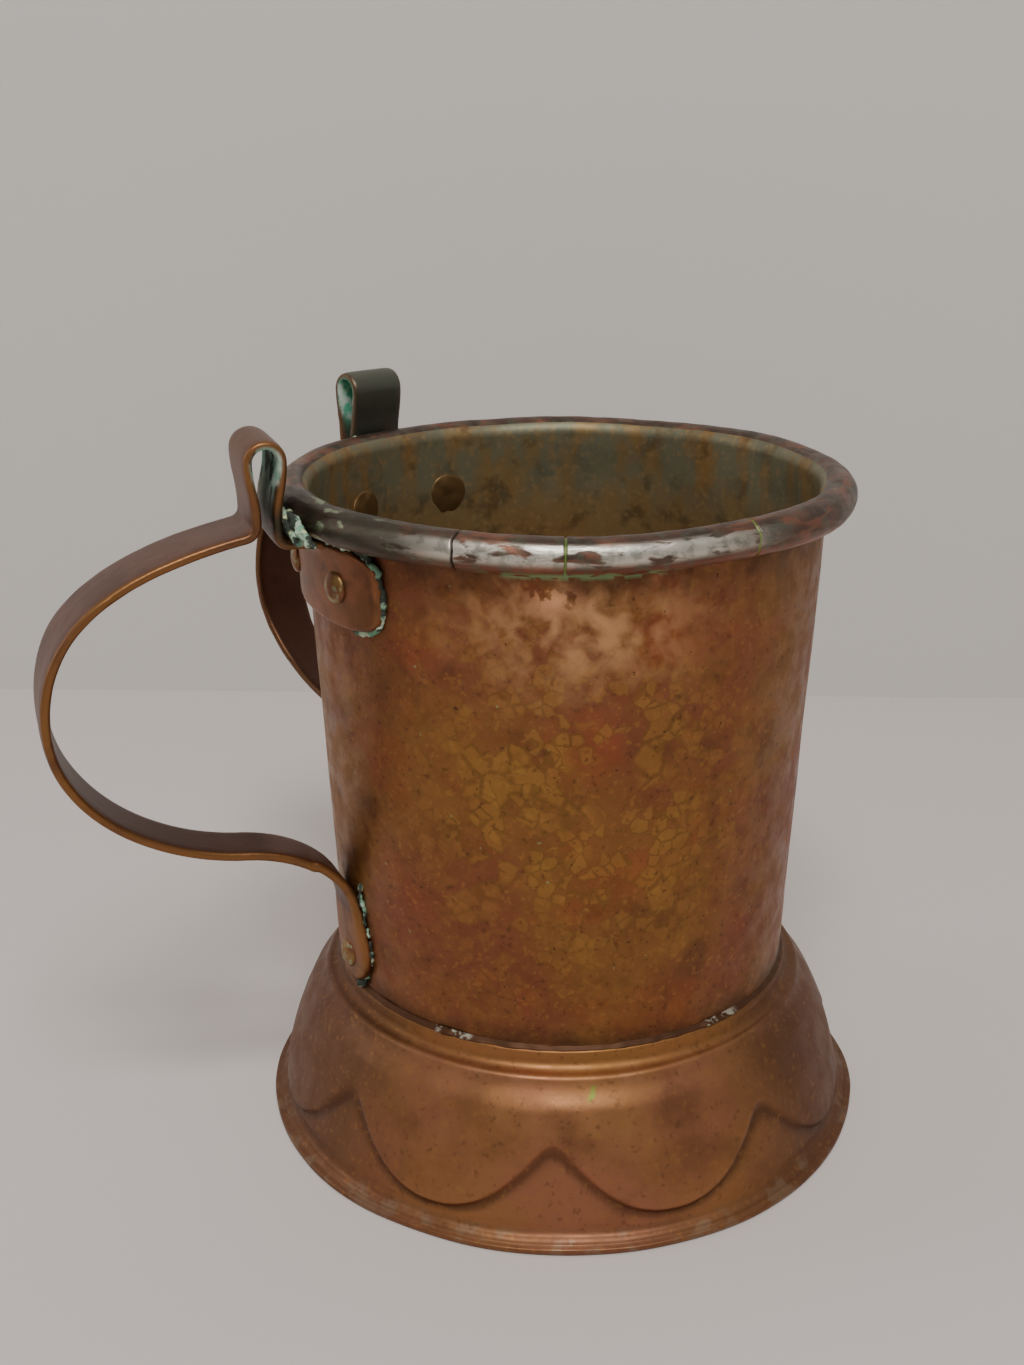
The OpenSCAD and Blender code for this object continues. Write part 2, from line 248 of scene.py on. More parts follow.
class Graph:
    """Adds nodes to a tree and joins them."""

    def node(self, kind, inputs, **settings):
        made = self.tree.nodes.new(kind)
        for name, value in settings.items():
            setattr(made, name, value)
        for name, value in inputs.items():
            if isinstance(value, bpy.types.NodeSocket):
                self.tree.links.new(value, made.inputs[name])
            else:
                made.inputs[name].default_value = value
        return made

    def math(self, operation, a, b=0.0, c=0.0):
        return self.node("ShaderNodeMath", {0: a, 1: b, 2: c}, operation=operation).outputs[0]

    def product(self, *values):
        total = values[0]
        for value in values[1:]:
            total = self.math("MULTIPLY", total, value)
        return total

    def vector(self, operation, a, b):
        return self.node("ShaderNodeVectorMath", {0: a, 1: b}, operation=operation).outputs[0]

    def scaled(self, a, factor):
        return self.node("ShaderNodeVectorMath", {0: a, "Scale": factor}, operation="SCALE").outputs[0]

    def band(self, value, low, high, start=0.0, end=1.0):
        inputs = {"Value": value, "From Min": low, "From Max": high, "To Min": start, "To Max": end}
        return self.node("ShaderNodeMapRange", inputs, interpolation_type="SMOOTHSTEP").outputs[0]


class Finish(Graph):
    """A procedural finish that reads the piece's own coordinates and marks."""

    def __init__(self, name, metallic, roughness):
        self.paint = bpy.data.materials.new(name)
        self.paint.use_nodes = True
        self.tree = self.paint.node_tree
        self.shader = self.tree.nodes["Principled BSDF"]
        self.shader.inputs["Metallic"].default_value = metallic
        self.shader.inputs["Roughness"].default_value = roughness
        self.place = self.tree.nodes.new("ShaderNodeTexCoord").outputs["Object"]

    def patches(self, size, seed, detail=3.0, warp=0.0, stretch=(1, 1, 1), place=None):
        place = place or self.place
        if stretch != (1, 1, 1):
            place = self.vector("MULTIPLY", place, stretch)
        inputs = {"Vector": place, "W": seed, "Scale": 1 / size, "Detail": detail, "Distortion": warp}
        return self.node("ShaderNodeTexNoise", inputs, noise_dimensions="4D").outputs[0]

    def wavy_place(self, size, amount, seed):
        inputs = {"Vector": self.place, "W": seed, "Scale": 1 / size, "Detail": 2.0}
        ripple = self.node("ShaderNodeTexNoise", inputs, noise_dimensions="4D").outputs[1]
        centred = self.vector("SUBTRACT", ripple, (0.5, 0.5, 0.5))
        return self.vector("ADD", self.place, self.scaled(centred, amount))

    def cells(self, size, seed, place, feature="F1"):
        inputs = {"Vector": place, "W": seed, "Scale": 1 / size}
        return self.node("ShaderNodeTexVoronoi", inputs, voronoi_dimensions="4D", feature=feature)

    def mix(self, factor, a, b):
        return self.node("ShaderNodeMix", {0: factor, 6: a, 7: b}, data_type="RGBA").outputs[2]

    def cover(self, amount, skin, shade):
        """The skin with a shade laid over it, as strongly as the amount says."""
        return self.mix(amount, skin, tone(shade))

    def marked(self, name):
        return self.node("ShaderNodeAttribute", {}, attribute_name=name).outputs["Fac"]

    def colour(self, value):
        self.tree.links.new(value, self.shader.inputs["Base Color"])

    def set(self, name, value):
        self.tree.links.new(value, self.shader.inputs[name])

    def bump(self, height, depth, strength=1.0):
        inputs = {"Height": height, "Distance": depth, "Strength": strength}
        self.set("Normal", self.node("ShaderNodeBump", inputs).outputs[0])


crack_turns = (49.9, 69.3, 105.1)
wall_turns = np.concatenate(
    [np.radians(np.arange(0, 360, 0.9))]
    + [np.radians(180 + c + np.linspace(-0.8, 0.8, 13)) for c in crack_turns]
)
wall_turns = np.unique(np.round(wall_turns, 6))
outer_face = run((wall_top_radius, bead_low), (wall_radius(wall_low), wall_low), 62)
inner_face = run((wall_radius(wall_low) - sheet, wall_low), (wall_top_radius - sheet, bead_low), 40)
notch_turn = math.degrees(math.acos((bead_ring - wall_top_radius - lip_gap) / bead_radius))
bead_face = arc((bead_ring, bead_height), bead_radius, 180, -(180 + 180 - notch_turn), 44)
notch_face = [(wall_top_radius + lip_gap, bead_height - 1.2 * mm), (wall_top_radius, bead_height - mm)]
body = lathe("body", inner_face + bead_face + notch_face + outer_face, wall_turns)
spots = points_of(body)
round_turn = degrees_round(spots)
spoke = spots * (1, 1, 0) / np.linalg.norm(spots[:, :2], axis=1)[:, None]
height = spots[:, 2]
row = np.repeat(np.arange(len(inner_face + bead_face + notch_face + outer_face)), len(wall_turns))
is_bead = (row >= len(inner_face)) & (row < len(inner_face + bead_face + notch_face))
ring_points = spoke * bead_ring + (0, 0, bead_height)
dents = 0.20 * mm * random_field(spoke * wall_radius(90 * mm) + height[:, None] * (0, 0, 1), 26 * mm, 1)
dents += 0.06 * mm * random_field(spoke * 51 * mm + height[:, None] * (0, 0, 1), 8 * mm, 2)
dents *= 1 - ease(height, 128 * mm, bead_low)
wander = 0.8 * mm * random_field(ring_points, 34 * mm, 3)
lift = 0.8 * mm * random_field(ring_points, 27 * mm, 4) - 0.15 * mm
swell = 1 + 0.07 * random_field(ring_points, 14 * mm, 5) + 0.03 * random_field(ring_points, 4 * mm, 6)
from_ring = spots - ring_points
crack = np.zeros(len(spots))
for number, turn in enumerate(crack_turns):
    lean = 0.45 * random_field(from_ring + (0, 0, 0.1 * number), 3 * mm, 20 + number)
    crack = np.maximum(crack, 1 - ease(np.abs(round_turn - turn + lean), 0.10, 0.34))
near_top = ease(height, 131 * mm, bead_low)
bead_part = is_bead.astype(float)
spots = spots + spoke * (dents + wander * near_top)[:, None] + near_top[:, None] * lift[:, None] * (
    0, 0, 1
)
spots = spots + bead_part[:, None] * from_ring * (swell - 1 - 0.10 * crack)[:, None]
move_points(body, spots)
around_bead = np.degrees(np.arctan2(from_ring[:, 2], np.einsum("ij,ij->i", from_ring, spoke)))
# The bead's front: worn bright tin, with a painted highlight over it on the upper outer face.
front = ease(round_turn, 28, 50) * (1 - ease(round_turn, 92, 116))
mark(body, "front_wear_and_highlight", front * (1 - ease(np.abs(around_bead - 16), 14, 42)))
mark(body, "beside_strap", (1 - ease(np.abs(round_turn - 22), 12, 30)) * bead_part)
mark(body, "under", 1 - ease(around_bead, -50, -12))
mark(body, "bead_along", np.radians(round_turn) * rim_radius)
mark(body, "bead_across", np.radians(around_bead) * bead_radius)
mark(body, "crack", crack * bead_part)
from_green = np.minimum(np.abs(round_turn - crack_turns[1]), np.abs(round_turn - crack_turns[2]))
mark(body, "crack_green", 1 - ease(from_green, 1, 2))
mark(
    body,
    "crevice",
    (1 - ease(np.abs(height - 137.3 * mm), 0.5 * mm, 1.3 * mm)) * ease(round_turn, 52, 60) * (
        1 - ease(round_turn, 84, 92)
    ),
)
# Painted highlight: a soft pale patch high on the wall's front, where the light falls.
mark(body, "upper_front_highlight", np.exp(-(((round_turn - 72) / 22) ** 2) - ((height - 127 * mm) / (12 * mm)) ** 2))
# Painted highlight: a small bright spot high on the wall's front.
mark(
    body,
    "painted_highlight_and_rub",
    np.exp(-(((round_turn - 67.5) / 4.5) ** 2) - ((height - 131.5 * mm) / (2.4 * mm)) ** 2),
)
mark(body, "stained", np.exp(-(((round_turn - 72) / 34) ** 2) - ((height - 92 * mm) / (36 * mm)) ** 2))
# Darker band under the bead and just above the foot.
mark(body, "darker_under_bead_and_above_foot", np.maximum(ease(height, 129 * mm, 137 * mm), 1 - ease(height, 37 * mm, 43 * mm)))
mark(body, "tide", ease(height, 118 * mm, 136 * mm))

wall_paint = Finish("wall_copper", 0.8, 0.4)
skin = wall_paint.mix(
    wall_paint.band(wall_paint.patches(34 * mm, 1.0), 0.40, 0.60), tone("7f4c33"), tone("855a31")
)
skin = wall_paint.cover(
    wall_paint.band(wall_paint.patches(15 * mm, 2.0, 5.0), 0.50, 0.70, 0, 0.5), skin, "93492f"
)
skin = wall_paint.cover(
    wall_paint.band(wall_paint.patches(9 * mm, 3.0, 6.0), 0.48, 0.70, 0, 0.5), skin, "593823"
)
stained = wall_paint.band(wall_paint.marked("stained"), 0.0, 0.8, 0.25, 1.0)
for cell_size, seed, wave, strength in ((5.4, 4.0, 3.2, 0.5), (2.8, 5.0, 2.0, 0.45)):
    wavy = wall_paint.wavy_place(1.3 * cell_size * mm, wave * mm, seed)
    scale = wall_paint.cells(cell_size * mm, seed, wavy)
    border = wall_paint.cells(cell_size * mm, seed, wavy, "DISTANCE_TO_EDGE").outputs["Distance"]
    chosen = wall_paint.band(scale.outputs["Color"], 0.50, 0.53)
    patchy = wall_paint.band(wall_paint.patches(16 * mm, seed + 10, 4.0), 0.40, 0.56)
    shown = wall_paint.product(chosen, stained, patchy)
    skin = wall_paint.cover(wall_paint.product(shown, strength), skin, "a3773a")
    outline = wall_paint.product(shown, wall_paint.band(border, 0.02, 0.12, 0.42, 0.0))
    skin = wall_paint.cover(outline, skin, "4c311d")
flecks = wall_paint.patches(1.1 * mm, 16.0, 3.0)
skin = wall_paint.cover(wall_paint.band(flecks, 0.56, 0.68, 0, 0.4), skin, "a5733d")
skin = wall_paint.cover(wall_paint.band(flecks, 0.30, 0.42, 0.5, 0), skin, "4e3020")
brushed = wall_paint.patches(4 * mm, 17.0, 5.0, 0.3, (1, 1, 0.28))
brushed = wall_paint.product(wall_paint.marked("tide"), wall_paint.band(brushed, 0.48, 0.62))
skin = wall_paint.cover(wall_paint.product(brushed, 0.5), skin, "5a3c22")
# Painted highlight laid on the upper front of the wall.
highlight_patches = wall_paint.patches(5 * mm, 9.0, 6.0, 0.6)
upper_front_highlight = wall_paint.product(wall_paint.marked("upper_front_highlight"), wall_paint.band(highlight_patches, 0.34, 0.66))
skin = wall_paint.cover(wall_paint.product(upper_front_highlight, 0.85), skin, "d0a070")
# Painted highlight: a small bright spot on the upper front.
painted_highlight_and_rub = wall_paint.product(
    wall_paint.marked("painted_highlight_and_rub"), wall_paint.band(wall_paint.patches(3 * mm, 19.0, 4.0), 0.44, 0.5)
)
skin = wall_paint.cover(wall_paint.product(painted_highlight_and_rub, 0.9), skin, "f4b488")
specks = wall_paint.band(wall_paint.patches(1.7 * mm, 10.0, 1.0), 0.755, 0.79)
skin = wall_paint.cover(wall_paint.product(specks, 0.6), skin, "8f9a6c")
pits = wall_paint.band(wall_paint.patches(1.3 * mm, 11.0, 1.0), 0.74, 0.79)
skin = wall_paint.cover(wall_paint.product(pits, 0.7), skin, "38241a")
# Darker band under the bead and just above the foot.
darker_under_bead_and_above_foot = wall_paint.product(
    wall_paint.marked("darker_under_bead_and_above_foot"), wall_paint.band(wall_paint.patches(7 * mm, 12.0, 4.0), 0.3, 0.6)
)
skin = wall_paint.cover(wall_paint.product(darker_under_bead_and_above_foot, 0.65), skin, "46301f")
green_line = wall_paint.band(wall_paint.patches(2.5 * mm, 13.0), 0.42, 0.5)
skin = wall_paint.cover(wall_paint.product(wall_paint.marked("crevice"), green_line), skin, "7fb482")
wall_paint.colour(skin)
wall_paint.set(
    "Roughness", wall_paint.band(wall_paint.patches(5 * mm, 14.0, 5.0), 0.35, 0.65, 0.36, 0.56)
)
wall_paint.bump(wall_paint.patches(1.2 * mm, 15.0, 4.0), 0.05 * mm, 0.6)

bead_paint = Finish("bead_copper", 0.8, 0.42)
unrolled = bead_paint.node(
    "ShaderNodeCombineXYZ",
    {
        0: bead_paint.math("MULTIPLY", bead_paint.marked("bead_along"), 0.3),
        1: bead_paint.marked("bead_across"),
        2: 0.0,
    },
).outputs[0]
skin = bead_paint.mix(
    bead_paint.band(bead_paint.patches(8 * mm, 1.0, 5.0), 0.35, 0.65), tone("4b4038"), tone("6b5044")
)
skin = bead_paint.cover(bead_paint.product(bead_paint.marked("under"), 0.85), skin, "8a5038")
streaks = bead_paint.patches(2.2 * mm, 2.0, 7.0, 0.6, (1, 1, 1), unrolled)
red_streaks = bead_paint.band(
    bead_paint.patches(3 * mm, 5.0, 5.0, 0.4, (1, 1, 1), unrolled), 0.52, 0.62
)
skin = bead_paint.cover(bead_paint.product(red_streaks, 0.6), skin, "93604a")
# Worn bright tin on the bead's front, with a painted highlight.
worn_tin_and_highlight = bead_paint.product(bead_paint.marked("front_wear_and_highlight"), bead_paint.band(streaks, 0.38, 0.47))
skin = bead_paint.cover(worn_tin_and_highlight, skin, "cfc8ba")
fine_grain = bead_paint.patches(1.2 * mm, 6.0, 5.0, 0.4, (1, 1, 1), unrolled)
skin = bead_paint.cover(bead_paint.band(fine_grain, 0.32, 0.42, 0.5, 0), skin, "453a31")
green = bead_paint.band(bead_paint.patches(2.4 * mm, 3.0, 5.0), 0.50, 0.60)
skin = bead_paint.cover(bead_paint.product(green, 0.4), skin, "5d6656")
beside = bead_paint.marked("beside_strap")
skin = bead_paint.cover(bead_paint.product(beside, 0.75), skin, "3d3b30")
pale_crust = bead_paint.band(bead_paint.patches(3 * mm, 7.0, 6.0, 0.5, (1, 1, 1), unrolled), 0.54, 0.62)
skin = bead_paint.cover(bead_paint.product(beside, pale_crust, 0.8), skin, "98a283")
crack_colour = bead_paint.mix(bead_paint.marked("crack_green"), tone("2b211a"), tone("7f9150"))
skin = bead_paint.mix(bead_paint.marked("crack"), skin, crack_colour)
crust_mark = bead_paint.product(
    bead_paint.marked("crevice"), bead_paint.band(bead_paint.patches(3 * mm, 13.0), 0.42, 0.5)
)
skin = bead_paint.cover(crust_mark, skin, "8cba8a")
bead_paint.colour(skin)
bead_paint.set("Roughness", bead_paint.band(streaks, 0.4, 0.6, 0.48, 0.38))
bead_paint.bump(streaks, 0.3 * mm, 0.8)

inside_paint = Finish("inside_copper", 0.6, 0.5)
skin = inside_paint.mix(
    inside_paint.band(inside_paint.patches(16 * mm, 1.0, 4.0), 0.38, 0.62),
    tone("8c6c42"),
    tone("8c744c"),
)
skin = inside_paint.cover(
    inside_paint.product(inside_paint.band(inside_paint.patches(5 * mm, 2.0, 4.0), 0.5, 0.68), 0.6),
    skin,
    "4f3d26",
)
tide = inside_paint.product(
    inside_paint.marked("tide"),
    inside_paint.band(inside_paint.patches(6 * mm, 3.0, 5.0, 0.0, (1, 1, 0.4)), 0.36, 0.56),
)
skin = inside_paint.cover(inside_paint.product(tide, 0.75), skin, "6f7562")
soot = inside_paint.band(inside_paint.patches(9 * mm, 5.0, 5.0), 0.50, 0.62)
skin = inside_paint.cover(inside_paint.product(inside_paint.marked("tide"), soot, 0.25), skin, "4a493c")
flecks = inside_paint.band(inside_paint.patches(1.4 * mm, 6.0, 4.0), 0.52, 0.66, 0, 0.4)
skin = inside_paint.cover(flecks, skin, "a08458")
inside_paint.colour(skin)
inside_paint.bump(inside_paint.patches(2 * mm, 4.0, 4.0), 0.08 * mm, 0.6)

for finish in (wall_paint, bead_paint, inside_paint):
    body.data.materials.append(finish.paint)
inner_rows = len(inner_face)
bead_rows = inner_rows + len(bead_face) + len(notch_face)
inner_bead_rows = 7
face_rows = np.arange(len(body.data.polygons)) // len(wall_turns)
slots = np.where(face_rows < inner_rows + inner_bead_rows, 2, np.where(face_rows < bead_rows - 1, 1, 0))
slots[face_rows == len(inner_face + bead_face + notch_face + outer_face) - 1] = 2
body.data.polygons.foreach_set("material_index", slots.astype(np.int32))
close_up(body)
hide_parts("body_wall")
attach(body, "root")

# ---------------------------------------------------------------------------------------
# Rim wire: the stout wire hidden in the bead. It is only seen where the bead is cut, and
# has the bead's own dull copper.
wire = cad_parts["rim_wire"]
wire.data.materials.clear()
wire.data.materials.append(bead_paint.paint)

# ---------------------------------------------------------------------------------------
# Floor: a disc of sheet copper with its edge turned down, soldered into the lower end of
# the wall. It is a little dished and is dark from use.
floor_top = wall_low + 6 * mm
floor_edge = 5 * mm
floor_low = floor_top - floor_edge
corner = 0.6 * mm
disc_radius = wall_radius(floor_top - corner) - sheet - 0.05 * mm
floor_profile = (
    run((0, floor_top), (disc_radius - corner, floor_top), 30)
    + arc((disc_radius - corner, floor_top - corner), corner, 90, -90, 4)
    + [(disc_radius, floor_low), (disc_radius - sheet, floor_low)]
    + [(disc_radius - sheet - 0.4 * mm, floor_top - sheet)]
    + run((disc_radius - 2 * sheet, floor_top - sheet), (0, floor_top - sheet), 20)
    + [(0, floor_top - sheet)]
)
floor_disc = lathe("floor_disc", floor_profile, np.radians(np.arange(0, 360, 2)), closed=False)
spots = points_of(floor_disc)
reach = np.linalg.norm(spots[:, :2], axis=1)
dish = -0.5 * mm * (1 - ease(reach, 0, 40 * mm)) + 0.2 * mm * random_field(spots, 14 * mm, 8)
spots[:, 2] += dish * (1 - ease(reach, 38 * mm, 45 * mm))
move_points(floor_disc, spots)
floor_disc.data.materials.append(inside_paint.paint)
close_up(floor_disc)
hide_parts("cup_floor")
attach(floor_disc, "root")

# ---------------------------------------------------------------------------------------
# Foot: a hollow skirt of sheet copper with a collar, a cove, a rounded shoulder and a
# hemmed flange. Eight petals were raised in it from behind with a punch, with a chased line
# round each. Its brown patina is smooth, with small golden stains.
flange_radius = 67.5 * mm
flange_width = 3.4 * mm
hem = 2.6 * mm
hem_sink = 0.2 * mm
cove_arc = 2.2 * mm
ridge_arc = 1.3 * mm
flange_arc = 1.6 * mm
collar_height = 1.6 * mm
skirt_swell = 1.1 * mm
petals = 8
cusp_turn = 67.5
collar_radius = waist_radius + sheet
ridge = (collar_radius + cove_arc, foot_height - collar_height - cove_arc - ridge_arc)
shoulder = (
    ridge[0] + ridge_arc * math.cos(math.radians(14)), ridge[1] + ridge_arc * math.sin(math.radians(14))
)
groove = (flange_radius - flange_width, hem - hem_sink + flange_arc)
edge_roll = 0.75 * mm


def skirt_face(inset, steps):
    spots = []
    for i in range(steps + 1):
        t = i / steps
        spots.append(
            (
                groove[0] - inset + (shoulder[0] - groove[0]) * t + skirt_swell * math.sin(math.pi * t),
                groove[1] + (shoulder[1] - groove[1]) * t,
            )
        )
    return spots


foot_profile = (
    skirt_face(0, 56)
    + arc(ridge, ridge_arc, 14, 76, 6)[1:]
    + arc((ridge[0], ridge[1] + ridge_arc + cove_arc), cove_arc, 270, -80, 8)[1:]
    + [
        (collar_radius, foot_height - 0.5 * mm),
        (collar_radius - 0.15 * mm, foot_height - 0.15 * mm),
        (collar_radius - 0.5 * mm, foot_height),
        (waist_radius, foot_height),
        (wall_radius(shoulder[1] - mm), shoulder[1] - mm),
        (shoulder[0] - 2.6 * mm, shoulder[1] - 1.2 * mm),
    ]
    + skirt_face(sheet, 34)[::-1][1:]
    + run((groove[0] - 0.6 * mm, 2.4 * mm), (groove[0] + 0.6 * mm, 0.9 * mm), 3)
    + run((groove[0] + 0.6 * mm, 0.9 * mm), (flange_radius - 1.2 * mm, 0.0), 4)[1:]
    + arc((flange_radius - edge_roll, edge_roll), edge_roll, 290, 125, 10)
    + run((flange_radius - 1.2 * mm, 1.3 * mm), (groove[0] + 1.6 * mm, 2.1 * mm), 6)[1:]
    + run((groove[0] + 1.6 * mm, 2.1 * mm), (groove[0] + 0.55 * mm, 2.75 * mm), 5)[1:]
    + run((groove[0] + 0.55 * mm, 2.75 * mm), (groove[0], groove[1]), 3)[1:-1]
)
foot = lathe("foot", foot_profile, np.radians(np.arange(0, 360, 0.75)))
spots = points_of(foot)
skirt_part = ease(spots[:, 2], groove[1] - 1.2 * mm, groove[1] + 1.4 * mm) * (
    1 - ease(spots[:, 2], shoulder[1] - 5 * mm, shoulder[1] - 0.6 * mm)
)
mark(foot, "skirt", skirt_part)
spoke = spots * (1, 1, 0) / np.linalg.norm(spots[:, :2], axis=1)[:, None]
dents = 0.25 * mm * random_field(spoke * 58 * mm + spots * (0, 0, 1), 22 * mm, 11)
dents += 0.07 * mm * random_field(spoke * 58 * mm + spots * (0, 0, 1), 7 * mm, 12)
outside = ease(np.linalg.norm(spots[:, :2], axis=1), 51 * mm, 54 * mm)
hem_part = 1 - ease(spots[:, 2], 3 * mm, 6 * mm)
hem_wave = 0.5 * mm * random_field(spoke * 67 * mm, 30 * mm, 13) - 0.3 * mm
spots = spots + spoke * (dents * outside + hem_part * np.minimum(hem_wave, 0.4 * mm))[:, None]
lift = np.maximum(0.45 * mm * random_field(spoke * 67 * mm, 24 * mm, 14), 0) * hem_part
spots[:, 2] += lift * ease(spots[:, 2], 0.2 * mm, 2 * mm)
move_points(foot, spots)


class Rule(Graph):
    """A Geometry Nodes rule with named inputs, run once on a piece."""

    def __init__(self, name, inputs):
        self.tree = bpy.data.node_groups.new(name, "GeometryNodeTree")
        self.tree.interface.new_socket(
            name="Geometry", in_out="INPUT", socket_type="NodeSocketGeometry"
        )
        self.tree.interface.new_socket(
            name="Geometry", in_out="OUTPUT", socket_type="NodeSocketGeometry"
        )
        self.given = self.tree.nodes.new("NodeGroupInput")
        self.values = {}
        for label, (kind, value) in inputs.items():
            socket = self.tree.interface.new_socket(name=label, in_out="INPUT", socket_type=kind)
            self.values[socket.identifier] = value
        self.result = self.tree.nodes.new("NodeGroupOutput")

    def want(self, label):
        return self.given.outputs[label]

    def field(self, name, kind="FLOAT"):
        made = self.node("GeometryNodeInputNamedAttribute", {"Name": name}, data_type=kind)
        return made.outputs["Attribute"]

    def end(self, geometry):
        whole = self.node("GeometryNodeRealizeInstances", {"Geometry": geometry})
        painted = self.node(
            "GeometryNodeSetMaterial", {"Geometry": whole.outputs[0], "Material": self.want("Finish")}
        )
        self.tree.links.new(painted.outputs[0], self.result.inputs[0])

    def run_on(self, thing):
        modifier = thing.modifiers.new(self.tree.name, "NODES")
        modifier.node_group = self.tree
        for identifier, value in self.values.items():
            modifier[identifier] = value
        settle(thing)


def settle(thing):
    """Makes a piece's live modifiers a plain mesh."""
    bpy.context.view_layer.update()
    ready = thing.evaluated_get(bpy.context.evaluated_depsgraph_get())
    shape = bpy.data.meshes.new_from_object(ready)
    thing.modifiers.clear()
    thing.data = shape


foot_paint = Finish("foot_copper", 0.78, 0.42)
skin = foot_paint.mix(
    foot_paint.band(foot_paint.patches(30 * mm, 21.0), 0.4, 0.6), tone("9a6548"), tone("9a6a42")
)
skin = foot_paint.cover(
    foot_paint.product(foot_paint.band(foot_paint.patches(12 * mm, 22.0, 4.0), 0.48, 0.72), 0.45),
    skin,
    "5f3d24",
)
small = foot_paint.cells(3.6 * mm, 23.0, foot_paint.wavy_place(4 * mm, 3 * mm, 24.0))
dots = foot_paint.product(
    foot_paint.band(small.outputs["Distance"], 0.22, 0.34, 1.0, 0.0),
    foot_paint.band(small.outputs["Color"], 0.60, 0.66),
)
skin = foot_paint.cover(foot_paint.product(dots, 0.4), skin, "a07442")
skin = foot_paint.cover(foot_paint.product(foot_paint.marked("cove"), 0.5), skin, "96682f")
skin = foot_paint.cover(foot_paint.product(foot_paint.marked("line"), 0.7), skin, "472c1c")
# Painted highlight along the foot's rounded ridge.
skin = foot_paint.cover(
    foot_paint.product(
        foot_paint.marked("painted_highlight_and_rub"),
        foot_paint.band(foot_paint.patches(8 * mm, 25.0, 4.0), 0.4, 0.6),
        0.5,
    ),
    skin,
    "ad7a58",
)
skin = foot_paint.cover(foot_paint.marked("speck"), skin, "7f8a3a")
# Painted shade on the foot's sides, away from the front.
skin = foot_paint.cover(foot_paint.product(foot_paint.marked("shade"), 0.75), skin, "533628")
skin = foot_paint.cover(foot_paint.product(foot_paint.marked("hem"), 0.6), skin, "6f4a33")
pale_rub = foot_paint.product(
    foot_paint.marked("hem"), foot_paint.band(foot_paint.patches(5 * mm, 26.0, 4.0), 0.52, 0.62)
)
skin = foot_paint.cover(foot_paint.product(pale_rub, 0.25), skin, "968a74")
flecks = foot_paint.patches(1.2 * mm, 29.0, 3.0)
skin = foot_paint.cover(foot_paint.band(flecks, 0.56, 0.68, 0, 0.3), skin, "a5733d")
skin = foot_paint.cover(foot_paint.band(flecks, 0.30, 0.42, 0.35, 0), skin, "54341f")
foot_paint.colour(skin)
foot_paint.set(
    "Roughness", foot_paint.band(foot_paint.patches(6 * mm, 27.0, 4.0), 0.35, 0.68, 0.42, 0.56)
)
foot_paint.bump(foot_paint.patches(1.2 * mm, 28.0, 4.0), 0.05 * mm, 0.6)

petal_rule = Rule(
    "raised_petals",
    {
        "Petals": ("NodeSocketFloat", float(petals)),
        "Cusp turn": ("NodeSocketFloat", math.radians(180 + cusp_turn)),
        "Petal bottom": ("NodeSocketFloat", 5.6 * mm),
        "Cusp height": ("NodeSocketFloat", 23.4 * mm),
        "Cusp rounding": ("NodeSocketFloat", 0.014),
        "Roundness": ("NodeSocketFloat", 2.2),
        "Raised by": ("NodeSocketFloat", 1.0 * mm),
        "Edge width": ("NodeSocketFloat", 1.5 * mm),
        "Line depth": ("NodeSocketFloat", 0.3 * mm),
        "Finish": ("NodeSocketMaterial", foot_paint.paint),
    },
)
rule = petal_rule
place = rule.node("GeometryNodeInputPosition", {}).outputs[0]
parts = rule.node("ShaderNodeSeparateXYZ", {0: place}).outputs
angle = rule.math("ARCTAN2", parts[1], parts[0])
phase = rule.math("MULTIPLY", rule.math("SUBTRACT", angle, rule.want("Cusp turn")), 0.5 / math.pi)
phase = rule.math("FRACT", rule.math("ADD", rule.product(phase, rule.want("Petals")), 100.0))
from_middle = rule.math("ABSOLUTE", rule.math("MULTIPLY_ADD", phase, 2.0, -1.0))
to_cusp = rule.math("SUBTRACT", 1.0, from_middle)
to_cusp = rule.math("SQRT", rule.math("MULTIPLY_ADD", to_cusp, to_cusp, rule.want("Cusp rounding")))
climb_base = rule.math("MAXIMUM", rule.math("SUBTRACT", 1.0, to_cusp), 0.0)
climb = rule.math("POWER", climb_base, rule.want("Roundness"))
rise_span = rule.math("SUBTRACT", rule.want("Cusp height"), rule.want("Petal bottom"))
edge_height = rule.math("ADD", rule.want("Petal bottom"), rule.product(climb, rise_span))
above = rule.math("SUBTRACT", parts[2], edge_height)
slope = rule.product(rule.math("POWER", climb_base, 1.5), 1.9)
above = rule.math("DIVIDE", above, rule.math("SQRT", rule.math("ADD", rule.product(slope, slope), 1.0)))
above = rule.math("DIVIDE", above, rule.want("Edge width"))
step_up = rule.band(above, -0.15, 0.85)
line_way = rule.math("MULTIPLY", rule.math("ADD", above, 0.25), 1.7)
line = rule.math("POWER", 2.718, rule.math("MULTIPLY", rule.product(line_way, line_way), -1.0))
raised = rule.math(
    "SUBTRACT",
    rule.product(step_up, rule.want("Raised by")),
    rule.product(line, rule.want("Line depth")),
)
skirt = rule.field("skirt")
flat = rule.vector("MULTIPLY", place, (1, 1, 0))
spoke_way = rule.vector("NORMALIZE", flat, (0, 0, 0))
push = rule.scaled(spoke_way, rule.product(raised, skirt))
moved = rule.node("GeometryNodeSetPosition", {"Geometry": rule.want("Geometry"), "Offset": push})
kept = rule.node(
    "GeometryNodeStoreNamedAttribute",
    {"Geometry": moved.outputs[0], "Name": "line", "Value": rule.product(line, skirt)},
    data_type="FLOAT",
    domain="POINT",
)
rule.end(kept.outputs[0])
petal_rule.run_on(foot)
spots = points_of(foot)
reach = np.linalg.norm(spots[:, :2], axis=1)
round_turn = degrees_round(spots)
mark(foot, "cove", ease(spots[:, 2], ridge[1] + 0.8 * mm, ridge[1] + 1.8 * mm) * (reach > waist_radius))
